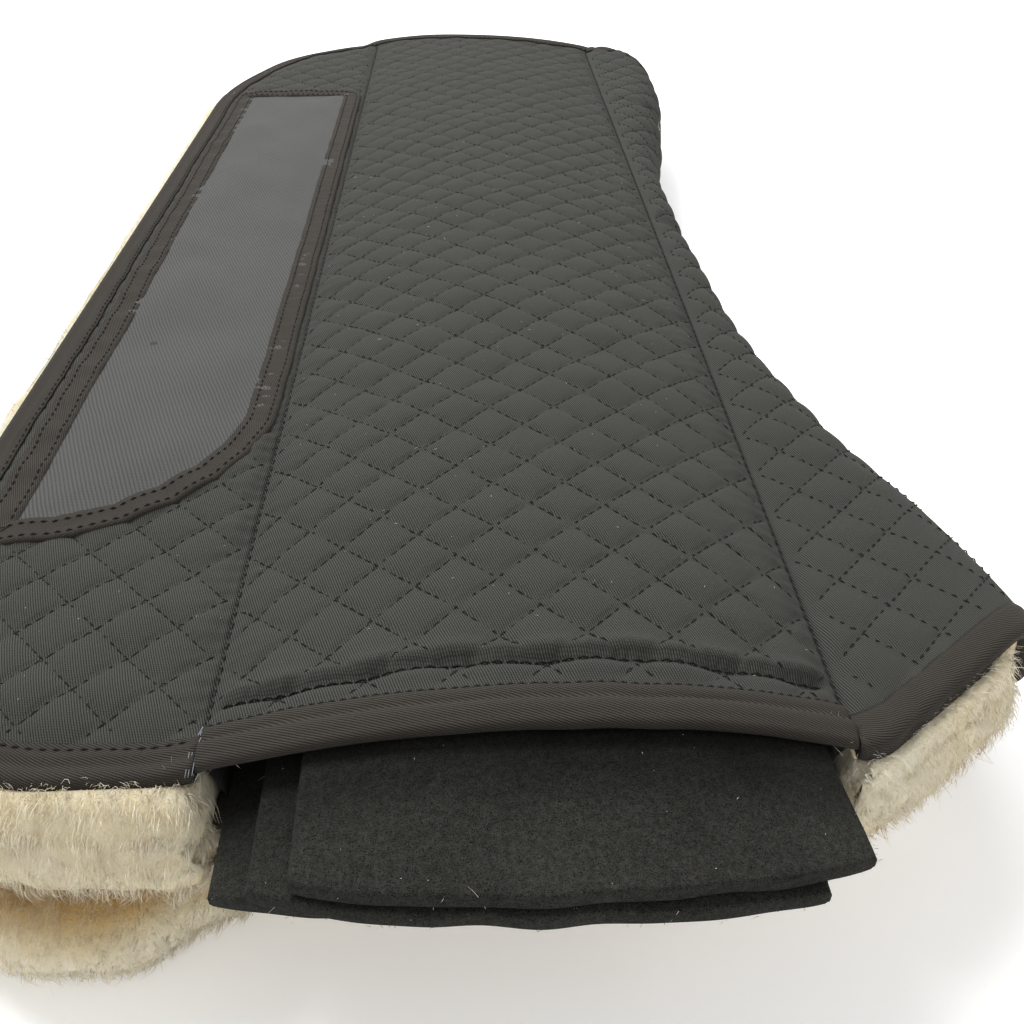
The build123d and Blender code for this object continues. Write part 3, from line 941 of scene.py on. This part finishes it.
def layer(name, top, bottom, arched, over_shims=False, mouth_inset=18.0):
    """A closed slab of one inner layer, between two depths, from the flap edge to the fold."""
    step = 2 * STEP
    i = np.arange(round(-176 / step), round(112 / step) + 1)
    j = np.arange(0, math.ceil(690 / step))
    x, y = np.meshgrid(i * step, j * step)
    inward = edge_distance(CUT_FINE, x, y)
    keep = (inward > 3.5 - 0.7 * step) & (x < spline_x(y) - 14)
    short = np.clip(3.5 - inward, 0, 0.8 * step)
    tilt = [edge_distance(CUT_FINE, x + dx, y + dy) - edge_distance(CUT_FINE, x - dx, y - dy)
            for dx, dy in ((0.5, 0), (0, 0.5))]
    x, y = x + short * tilt[0], y + short * tilt[1]
    keep &= (np.abs(x) > SEAM + 4) | (y > mouth_inset)
    if not arched:
        keep &= y > beside_shims(x) + 6
    heights = []
    for depth in (top, bottom):
        if over_shims:
            heights.append(TOP + np.where(np.abs(x) < SEAM, arch(x, y), 0) - depth - border_fall(x, y))
        else:
            heights.append(inner_depth(x, y, depth, arched))
    faces = quads(*x.shape, keep)
    shown = np.stack([x, y, heights[0]], -1).reshape(-1, 3)
    hidden = np.stack([x, y, heights[1]], -1).reshape(-1, 3)
    return closed_slab(name, shown, hidden, faces, np.stack([x, y], -1).reshape(-1, 2), not arched)


def closed_slab(name, shown, hidden, faces, uv, flipped):
    """Joins two sheets with the same faces by a rim."""
    count = len(shown)
    edges = np.concatenate([faces[:, [0, 1]], faces[:, [1, 2]], faces[:, [2, 3]], faces[:, [3, 0]]])
    keys = np.sort(edges, 1) @ np.array([count, 1])
    _, first, times = np.unique(keys, return_index=True, return_counts=True)
    rim = edges[first[times == 1]]
    sides = np.stack([rim[:, 1], rim[:, 0], rim[:, 0] + count, rim[:, 1] + count], 1)
    faces = np.concatenate([faces, faces[:, ::-1] + count, sides])
    points = np.concatenate([shown, hidden])
    if flipped:
        points[:, 2] = TOP - points[:, 2]
        faces = faces[:, ::-1]
    points, faces, uv = drop_loose(points, faces, np.concatenate([uv, uv]))
    return mesh_object(name, points, faces, uv)


for half, arched in (("upper", True), ("lower", False)):
    body = half + "_half"
    wadding = layer(half + "_wadding", 3.9, 4.8, arched, over_shims=arched)
    finish_piece(wadding, WADDING, "wadding", body, half + "_quilt_wadding")
    lining = layer(half + "_pocket_lining", 5.0, 5.8, arched, mouth_inset=4.0)
    finish_piece(lining, LINING, "lining", body, half + "_pocket_lining")
    hide = layer(half + "_sheepskin_hide", 6.0, 8.0, arched)
    finish_piece(hide, HIDE, "hide", body, half + "_sheepskin_hide")

fold_hide = fold_object("spine_fold_hide", fold_surface(40, 160, depth=4.5, quilted=False))
finish_piece(thicken(fold_hide, 2.0), HIDE, "hide", None)
blend_fold(fold_hide)


# ---- wool ----
def wool_body(name, node, upper):
    """The pile's outer shape: its CAD solid remeshed, swollen past the cut edge and lumped into locks."""
    source = bpy.data.objects.new("source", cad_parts[node].data.copy())
    bpy.context.scene.collection.objects.link(source)
    remesh = source.modifiers.new("remesh", "REMESH")
    remesh.mode = "VOXEL"
    remesh.voxel_size = 3.2 * MM
    mesh = bpy.data.meshes.new_from_object(source.evaluated_get(bpy.context.evaluated_depsgraph_get()))
    bpy.data.objects.remove(source)
    co = np.empty(len(mesh.vertices) * 3)
    mesh.vertices.foreach_get("co", co)
    p = co.reshape(-1, 3) / MM - ORIGIN
    normals = np.empty(len(mesh.vertices) * 3)
    mesh.vertices.foreach_get("normal", normals)
    n = normals.reshape(-1, 3)
    x, y, z = p.T
    inward = edge_distance(CUT, x, y)
    side = smooth(3, -3, inward)
    from_middle = np.abs(z - MID) / (MID - 9)
    belly = np.sin(math.pi * np.clip(from_middle * 0.9 + 0.08, 0, 1)) ** 0.7
    near_flap = smooth(0, -60, x) * smooth(40, 0, y)
    if not upper:
        p[:, 1] += beside_shims(x) * smooth(60, 10, y)
    under_pocket = smooth(SEAM + 2, SEAM - 8, np.abs(x)) * smooth(60, 20, y)
    by_spine = smooth(60, 85, x) * smooth(90, 40, y)
    reach = 10 + (3 if upper else 9) * near_flap - (5 if upper else 8) * by_spine
    swell = (-7 + belly * reach) * side * (1 - under_pocket)
    swell -= (8 if upper else 8 + 6 * smooth(25, 70, x)) * side * under_pocket
    outward = n.copy()
    outward[:, 2] *= 0.2
    lumps = 2.4 * noise(x, y, z, 24, 71) + 1.5 * noise(x, y, z, 10, 72) + 0.7 * noise(x, y, z, 5, 73)
    p = p + outward * (swell + lumps * (0.35 + 0.65 * side))[:, None]
    p[:, 2] += np.sign(z - MID) * 5.2 * side * smooth(MID - 16, MID - 9, np.abs(z - MID))
    meeting = smooth(4, 1.5, np.abs(z - MID)) * (1 - side)
    clumps = 1.2 + 1.6 * noise(x, y, 0, 11, 74) + 1.0 * noise(x, y, 0, 5, 75)
    p[:, 2] += np.where(upper, 1, -1) * meeting * np.maximum(clumps, 0)
    under_shims = TOP + arch(p[:, 0], p[:, 1]) - 3 * SHIM_PITCH - 13.0
    closing = (3 * SHIM_PITCH + 4.0) * far_end(p[:, 1] + 4) * smooth(SEAM + 2, SEAM - 4, np.abs(p[:, 0]))
    if upper:
        p[:, 2] += closing * smooth(MID + 4, MID + 12, p[:, 2])
        under_shims = under_shims + closing
        capped = np.minimum(p[:, 2], np.maximum(under_shims, MID + 3))
        p[:, 2] = np.where(np.abs(p[:, 0]) < SEAM, capped, p[:, 2])
        p[:, 2] = np.maximum(p[:, 2], MID + 0.2)
    else:
        hang = side * smooth(24, 8, p[:, 2]) * 8
        p[:, 2] = np.clip(p[:, 2] - hang, 0.3, MID - 0.2)
    # painted shade: tan is strongest along the crease where the two piles meet outside the cut edge; the
    # noise and the constant give random and even tone
    tan = 1.1 * np.exp(-(np.abs(p[:, 2] - MID) / 7) ** 2) * side + 0.35 * noise(x, y, z, 30, 76) + 0.15
    mesh.vertices.foreach_set("co", ((p + ORIGIN) * MM).ravel())
    mesh.attributes.new("tan", "FLOAT", "POINT").data.foreach_set("value", tan.astype(np.float32))
    mesh.polygons.foreach_set("use_smooth", np.ones(len(mesh.polygons), bool))
    mesh.name = name
    mesh.update()
    obj = bpy.data.objects.new(name, mesh)
    bpy.context.scene.collection.objects.link(obj)
    return obj


def face_data(obj):
    """Centres in the drawing frame, normals and areas of a mesh's faces."""
    count = len(obj.data.polygons)
    centre, normal, area = np.empty(count * 3), np.empty(count * 3), np.empty(count)
    obj.data.polygons.foreach_get("center", centre)
    obj.data.polygons.foreach_get("normal", normal)
    obj.data.polygons.foreach_get("area", area)
    return centre.reshape(-1, 3) / MM - ORIGIN, normal.reshape(-1, 3), area


def wool_fibres(name, obj, weight, count, length, radius=0.13, lay=(0, 0, -1), clump=3.2):
    """Locks of fibre on a wool surface where weight is above zero; each lock's tips draw together."""
    centre, normal, area = face_data(obj)
    chance = area * weight(centre, normal)
    chance /= chance.sum()
    pick = rng.choice(len(centre), count, p=chance)
    base = centre[pick] + rng.normal(0, 1.1, (count, 3))
    n = normal[pick]
    lay = np.broadcast_to(np.asarray(lay, float), n.shape)
    flow = unit(lay - n * (n * lay).sum(1, keepdims=True), 1e-6)
    cell = np.floor(base / clump)
    twist = np.stack([lattice(cell[:, 0], cell[:, 1], cell[:, 2], seed) - 0.5 for seed in (81, 82, 83)], 1)
    lean = flow + twist * 0.9 + rng.normal(0, 0.16, (count, 3))
    reach = length * rng.uniform(0.6, 1.15, (count, 1))
    knots = [base - n * 1.0]
    for share, up in ((0.3, 0.55), (0.35, 0.3), (0.35, 0.08)):
        knots.append(knots[-1] + reach * share * (n * up + lean * (1 - up)))
    _, group = np.unique(cell @ np.array([1.0, 1e3, 1e6]), return_inverse=True)
    group = group.ravel()
    size = np.bincount(group)
    for k, pull in ((2, 0.2), (3, 0.45)):
        middle = np.stack([np.bincount(group, knots[k][:, c]) / size for c in range(3)], 1)[group]
        knots[k] = knots[k] + (middle - knots[k]) * pull
    spines = np.stack(knots, 1)
    spines[..., 2] = np.maximum(spines[..., 2], 0.3)
    # painted shade: fibres near the crease between the halves get the darker tan; the noise is random tone
    depth = 0.9 * np.exp(-(np.abs(base[:, 2] - MID) / 6) ** 2) + 0.3 * noise(*base.T, 30, 76)
    thickness = rng.uniform(0.7, 1.2, count) * radius
    return strand_mesh(name, spines, thickness, {"tan": depth + rng.normal(0, 0.12, count)})


def outside(centre, upper, inset=2.0):
    """One where a point lies outside the cut edge or close to it, clear of the pocket mouth."""
    drawn_back = 0 if upper else beside_shims(centre[:, 0]) * smooth(66, 24, centre[:, 1])
    at_edge = smooth(inset + 3, inset, edge_distance(CUT, centre[:, 0], centre[:, 1] - drawn_back))
    return at_edge * ((np.abs(centre[:, 0]) > SEAM - 4) | (centre[:, 1] > 60))


REGIONS = {
    "near_flap": (lambda c: (c[:, 0] < -50) & (c[:, 1] < 40), 9900, (0, -0.5)),
    "near_spine": (lambda c: (c[:, 0] > 40) & (c[:, 1] < 110), 5000, (0.3, -0.4)),
    "flap": (lambda c: (c[:, 0] < -90) & (c[:, 1] >= 40) & (c[:, 1] < 560), 9000, (-0.4, 0)),
    "far": (lambda c: c[:, 1] >= 560, 7000, (0, 0.4))}

for half in ("upper", "lower"):
    body = half + "_half"
    wool = wool_body(half + "_wool", half + "_wool_pile", half == "upper")
    finish_piece(wool, WOOL, "wool", body, half + "_wool_pile")
    for region, (inside, count, lay) in REGIONS.items():
        locks = wool_fibres(f"{half}_wool_fibres_{region}", wool,
                            lambda c, n: inside(c) * outside(c, half == "upper"), count, 5.5,
                            lay=(*lay, -0.3 if half == "upper" else -0.6))
        finish_piece(locks, FIBRE, "wool", body)
    toward = -1 if half == "upper" else 1
    inner = wool_fibres(half + "_wool_fibres_inner", wool,
                        lambda c, n: (n[:, 2] * toward > 0.6) * (edge_distance(CUT, c[:, 0], c[:, 1]) > 2),
                        9500, 6.0, radius=0.3, lay=(0.3, -1, 0), clump=9.0)
    finish_piece(inner, FIBRE, "wool", body)


# ---- stitches ----

def cloth_height(x, y):
    """Height of the cover mesh itself, straight between its grid corners."""
    column, row = np.floor(x / STEP), np.floor(y / STEP)
    u, v = x / STEP - column, y / STEP - row
    z = [outer_face((column + i) * STEP, (row + j) * STEP) for j in (0, 1) for i in (0, 1)]
    return (1 - v) * ((1 - u) * z[0] + u * z[1]) + v * ((1 - u) * z[2] + u * z[3])

def stitch_mesh(name, knots, radius=0.24):
    """Stitches as short threads through three points each: start, middle and end."""
    return strand_mesh(name, knots, np.full(len(knots), radius), sides=4, taper=(0.5, 1, 0.5))


def along_rail(rail, pitch=3.3, length=2.5, lift=0.4, up=1):
    """Stitches laid end to end along a line of points on the cloth."""
    place = run_along(rail)
    start = np.arange(1.0, place[-1] - pitch, pitch)
    start = start + 0.25 * noise(start, 0, size=1.7, seed=91)
    knots = []
    for share, rise in ((0, -0.25), (0.5, lift), (1, -0.25)):
        p = np.stack([np.interp(start + share * length, place, rail[:, c]) for c in range(3)], 1)
        knots.append(p + [0, 0, rise * up])
    return np.stack(knots, 1)


def quilt_lines(s_low, s_high, y_high):
    """Start, direction and stitch centres of both families of quilting lines, in cloth coordinates."""
    pitch = 3.4
    for sign, shift in zip((1, -1), QUILT_SHIFTS):
        corners = [sign * s + y for s in (s_low, s_high) for y in (0, y_high)]
        first = math.ceil((min(corners) - shift) / DIAMOND)
        last = math.floor((max(corners) - shift) / DIAMOND)
        t = np.arange(s_low, s_high, pitch / math.sqrt(2))
        for k in range(first, last + 1):
            s = t + rng.uniform(0, 0.6)
            yield s, k * DIAMOND + shift - sign * s, np.array([1.0, -sign]) / math.sqrt(2)


def quilt_centres(s_low, s_high, y_high):
    """All stitch centres of a region with their directions."""
    centres, ways = [], []
    for s, y, way in quilt_lines(s_low, s_high, y_high):
        centres.append(np.stack([s, y], 1))
        ways.append(np.broadcast_to(way, (len(s), 2)))
    return np.concatenate(centres), np.concatenate(ways)


def flat_quilting(name, s_low, s_high, arched, half_stitch=1.25):
    """Quilting stitches on a flat region, clear of the tapes, the patch and the seams."""
    c, way = quilt_centres(s_low, s_high, 700)
    start = np.where((np.abs(c[:, 0]) < SEAM) & arched, MOUTH_TAPE + 2, EDGE_TAPE + 2)
    in_hem = (np.abs(c[:, 0]) < SEAM) & arched & (np.abs(c[:, 1] - HEM) < 2.6)
    keep = (c[:, 1] > start) & ~in_hem & (edge_distance(CUT_FINE, *c.T) > EDGE_TAPE + 2)
    keep &= (edge_distance(PATCH_LINE, *c.T) < -1.5) & (np.abs(np.abs(c[:, 0]) - SEAM) > 2.5)
    c, way = c[keep], way[keep]
    knots = []
    for share, rise in ((-1, -0.12), (0, 0.34), (1, -0.12)):
        xy = c + way * share * half_stitch
        z = outer_face(*xy.T, arched) + rise
        knots.append(np.column_stack([xy, z if arched else np.maximum(TOP - z, 0.2)]))
    return stitch_mesh(name, np.stack(knots, 1))


def on_fold(cloth, y):
    """Point of the folded cover at cloth coordinates, with the fold's outward direction."""
    rows, columns = FOLD.shape[:2]

    def at(v, c_share):
        r, c = np.clip(v, 0, 0.9999) * (rows - 1), np.clip(c_share, 0, 0.9999) * (columns - 1)
        r0, c0 = r.astype(int), c.astype(int)
        fr, fc = (r - r0)[:, None], (c - c0)[:, None]
        return ((FOLD[r0, c0] * (1 - fc) + FOLD[r0, c0 + 1] * fc) * (1 - fr)
                + (FOLD[r0 + 1, c0] * (1 - fc) + FOLD[r0 + 1, c0 + 1] * fc) * fr)

    v = y / FOLD_RUN
    for _ in range(4):
        length = np.interp(np.clip(v, 0, 1), np.linspace(0, 1, rows), FOLD[:, -1, 3] - SEAM)
        share = (cloth - SEAM) / length
        v = v + (y - at(v, share)[:, 1]) / FOLD_RUN
    p = at(v, share)[:, :3]
    across = at(v, share + 0.01)[:, :3] - at(v, share - 0.01)[:, :3]
    along = at(v + 0.002, share)[:, :3] - at(v - 0.002, share)[:, :3]
    return p, unit(np.cross(across, along), 1e-9), share, v


def fold_quilting(name, half_stitch=1.25):
    """Quilting stitches round the spine fold."""
    c, way = quilt_centres(SEAM + 3, SEAM + 180, FOLD_RUN)
    _, _, share, v = on_fold(*c.T)
    keep = (share > 0.02) & (share < 0.98) & (v > 0.02) & (v < 0.975)
    c, way = c[keep], way[keep]
    knots = []
    for place, rise in ((-1, -0.25), (0, 0.38), (1, -0.25)):
        p, out, _, _ = on_fold(*(c + way * place * half_stitch).T)
        knots.append(p + out * rise)
    knots = np.stack(knots, 1)
    knots[..., 2] = np.maximum(knots[..., 2], 0.3)
    return stitch_mesh(name, knots)


finish_piece(flat_quilting("upper_flap_quilting", -170, -SEAM, True), THREAD, "thread", "upper_half")
finish_piece(flat_quilting("upper_channel_quilting", -SEAM, SEAM, True), THREAD, "thread", "upper_half")
finish_piece(flat_quilting("lower_quilting", -170, SEAM, False), THREAD, "thread", "lower_half")
blend_fold(finish_piece(fold_quilting("spine_fold_quilting"), THREAD, "thread", None))

for half, arched in (("upper", True), ("lower", False)):
    body, up = half + "_half", 1 if arched else -1
    for seam, side in (("flap", -1), ("spine", 1)):
        y = np.arange(2.0 if arched else 4.0, far_edge_y(side * SEAM) - 8, 1.5)
        x = np.full(len(y), side * (SEAM - 0.6))
        rail = turned_over(np.stack([x, y, outer_face(x, y, arched) + 0.2], 1), arched)
        finish_piece(stitch_mesh(f"{half}_{seam}_seam_stitches", along_rail(rail, 4.0, 2.8, 0.35, up), 0.26),
                     THREAD, "thread", body, f"{half}_{seam}_seam_thread")
    rows = [along_rail(rail, up=up) for rail in STITCH_RAILS[half + "_patch_binding"]]
    finish_piece(stitch_mesh(half + "_patch_stitches", np.concatenate(rows), 0.36), THREAD, "thread", body,
                 half + "_patch_thread")
    rows = [along_rail(rail, up=up) for rail in STITCH_RAILS[half + "_edge_binding"]]
    finish_piece(stitch_mesh(half + "_edge_stitches", np.concatenate(rows), 0.36), THREAD, "thread", body)

x = np.arange(-SEAM + 3, SEAM - 2, 1.0)
y = HEM + 1.2 * noise(x, 0 * x, size=22, seed=8)
hem = [along_rail(np.stack([x, y, cloth_height(x, y) + 0.3], 1), 3.4, 2.9, 0.5)]
hem += [along_rail(rail + [0, 0, 0.25], 2.6, 2.1, 0.25) for rail in STITCH_RAILS["upper_mouth_binding"]]
finish_piece(stitch_mesh("upper_mouth_stitches", np.concatenate(hem), 0.34), THREAD, "thread", "upper_half",
             "upper_mouth_hem_thread")
hem = along_rail(np.stack([x, 7.0 + 0 * x, TOP - outer_face(x, 7.0 + 0 * x, False) + 0.1], 1), up=-1)
hem[..., 2] = np.maximum(hem[..., 2], 0.25)
finish_piece(stitch_mesh("lower_mouth_stitches", hem, 0.3), THREAD, "thread", "lower_half",
             "lower_mouth_hem_thread")


# ---- fuzz and stray hairs ----
def fuzz(name, base, normal, length, radius, droop=0.3):
    """Loose bent hairs standing on a surface."""
    count = len(base)
    lean = rng.normal(0, 1, (count, 3))
    lean -= normal * (lean * normal).sum(1, keepdims=True) * 0.8
    reach = length * rng.uniform(0.4, 1.2, (count, 1))
    knots = [base - normal * 0.3]
    for share, bend in ((0.35, 0.6), (0.35, 1.2), (0.3, 1.7)):
        step = normal * 0.5 + lean * 0.5 * bend - np.array([0, 0, droop * bend])
        knots.append(knots[-1] + reach * share * step)
    return strand_mesh(name, np.stack(knots, 1), np.full(count, radius))


for name, obj in SHIM_OBJECTS.items():
    centre, normal, area = face_data(obj)
    chance = area * np.where(centre[:, 1] < 30, 1, 0.02)
    pick = rng.choice(len(centre), 2600, p=chance / chance.sum())
    base = centre[pick] + rng.normal(0, 1.0, (len(pick), 3)) * (1 - np.abs(normal[pick]))
    finish_piece(fuzz(name + "_fuzz", base, normal[pick], 2.2, 0.07), FELT, "felt", name)
    pick = pick[:130]
    finish_piece(fuzz(name + "_wool_hairs", base[:130], normal[pick], 5.0, 0.06), LINT, "wool", name)

for side, count, spread in ((-1, 45, 6.0), (1, 45, 5.0)):
    x = side * (SEAM + rng.normal(2.0, spread, count))
    y = rng.normal(0.0, 4.0, count)
    z = outer_face(np.clip(x, -SEAM - 20, SEAM + 20), np.maximum(y, 0)) - rng.uniform(0, 4, count)
    name = f"mouth_corner_hairs_{'left' if side < 0 else 'right'}"
    hairs = fuzz(name, np.stack([x, y, z], 1), np.tile([0.0, -0.4, 0.9], (count, 1)), 5.0, 0.05, 0.1)
    finish_piece(hairs, LINT, "wool", "upper_half")
for place, (x, y, count) in {"flap": (-152.0, 612.0, 420), "flap_low": (-168.0, 540.0, 260)}.items():
    base = np.array([x, y, TOP - 9.0]) + rng.normal(0, 4.0, (count, 3)) * [0.8, 1.0, 0.5]
    out = np.tile([-0.75, 0.2, 0.65], (count, 1))
    finish_piece(fuzz(f"tuft_{place}", base, out, 5.5, 0.14, 0.0), FIBRE, "wool", "upper_half")

row = np.argmin(np.abs(FOLD[:, 44, 1] - 521))
base = FOLD[row, 44, :3] + rng.normal(0, 1.5, (90, 3))
tuft = fuzz("tuft_fold", base, np.tile([0.8, 0.0, 0.5], (90, 1)), 4.0, 0.16, 0.0)
finish_piece(tuft, FIBRE, "wool", "upper_half")

ends = []
for shift in (0.0, 0.7, 1.5):
    y = np.linspace(13 - shift * 3, -2.5, 14)
    x = -SEAM - 0.6 + shift + 0.9 * noise(y, shift, size=5, seed=95)
    ends.append(np.stack([x, y, outer_face(x, np.maximum(y, 0)) + 0.6 - 0.25 * np.maximum(-y, 0)], 1))
thread_end = strand_mesh("seam_thread_end", np.array(ends), np.full(3, 0.16), sides=5,
                         taper=np.linspace(1, 0.6, 14))
finish_piece(thread_end, PALE_THREAD, "thread", "upper_half")
x, y = rng.uniform(-150, SEAM, 260), rng.uniform(12, 420, 260)
base = np.stack([x, y, outer_face(x, y) + 0.3], 1)
finish_piece(fuzz("lint", base, np.tile([0.0, 0, 1.0], (260, 1)), 1.6, 0.07, 0.6), LINT, "wool", "upper_half")


# ---- floor, light and camera ----
def stage():
    """Pale floor and soft studio light."""
    bpy.ops.mesh.primitive_plane_add(size=8, location=(0, 1.5, -0.0002))
    floor = bpy.context.object
    floor.name = "floor"
    mat, tree, shader = material("floor", (0.93, 0.93, 0.93))
    n = Nodes(tree, shader)
    speck = n.ramp(n.noise(n.coordinates.outputs["Object"], 400), (0, (0.92,) * 3), (1, (0.94,) * 3))
    n.link(speck, shader.inputs["Base Color"])
    n.settings({"Emission Color": (1, 1, 1, 1), "Emission Strength": 0.25})
    floor.data.materials.append(mat)
    world = bpy.data.worlds.new("studio")
    world.use_nodes = True
    world.node_tree.nodes["Background"].inputs["Color"].default_value = (1, 1, 1, 1)
    world.node_tree.nodes["Background"].inputs["Strength"].default_value = 0.5
    bpy.context.scene.world = world
    for name, place, size, power in (("key", (-0.8, 0.5, 1.6), 0.9, 40), ("fill", (1.2, -0.9, 1.3), 1.4, 9),
                                     ("back", (0.2, 1.9, 1.4), 1.4, 24)):
        light = bpy.data.lights.new(name, "AREA")
        light.size = size
        light.energy = power
        lamp = bpy.data.objects.new(name, light)
        lamp.location = place
        lamp.rotation_euler = (-lamp.location).to_track_quat("-Z", "Y").to_euler()
        bpy.context.scene.collection.objects.link(lamp)
    bpy.context.scene.view_settings.view_transform = "Standard"


def aim_camera():
    """Camera a little above the near end, looking along the pad."""
    camera = bpy.data.cameras.new("camera")
    camera.sensor_width = 36
    camera.lens = 35.2
    obj = bpy.data.objects.new("camera", camera)
    obj.location = [c * MM for c in np.array([-10.5, -147.4, TOP + 187.2]) + ORIGIN]
    obj.rotation_euler = (math.radians(90 - 38.03), 0, math.radians(-2.44))
    bpy.context.scene.collection.objects.link(obj)
    bpy.context.scene.camera = obj


stage()
aim_camera()
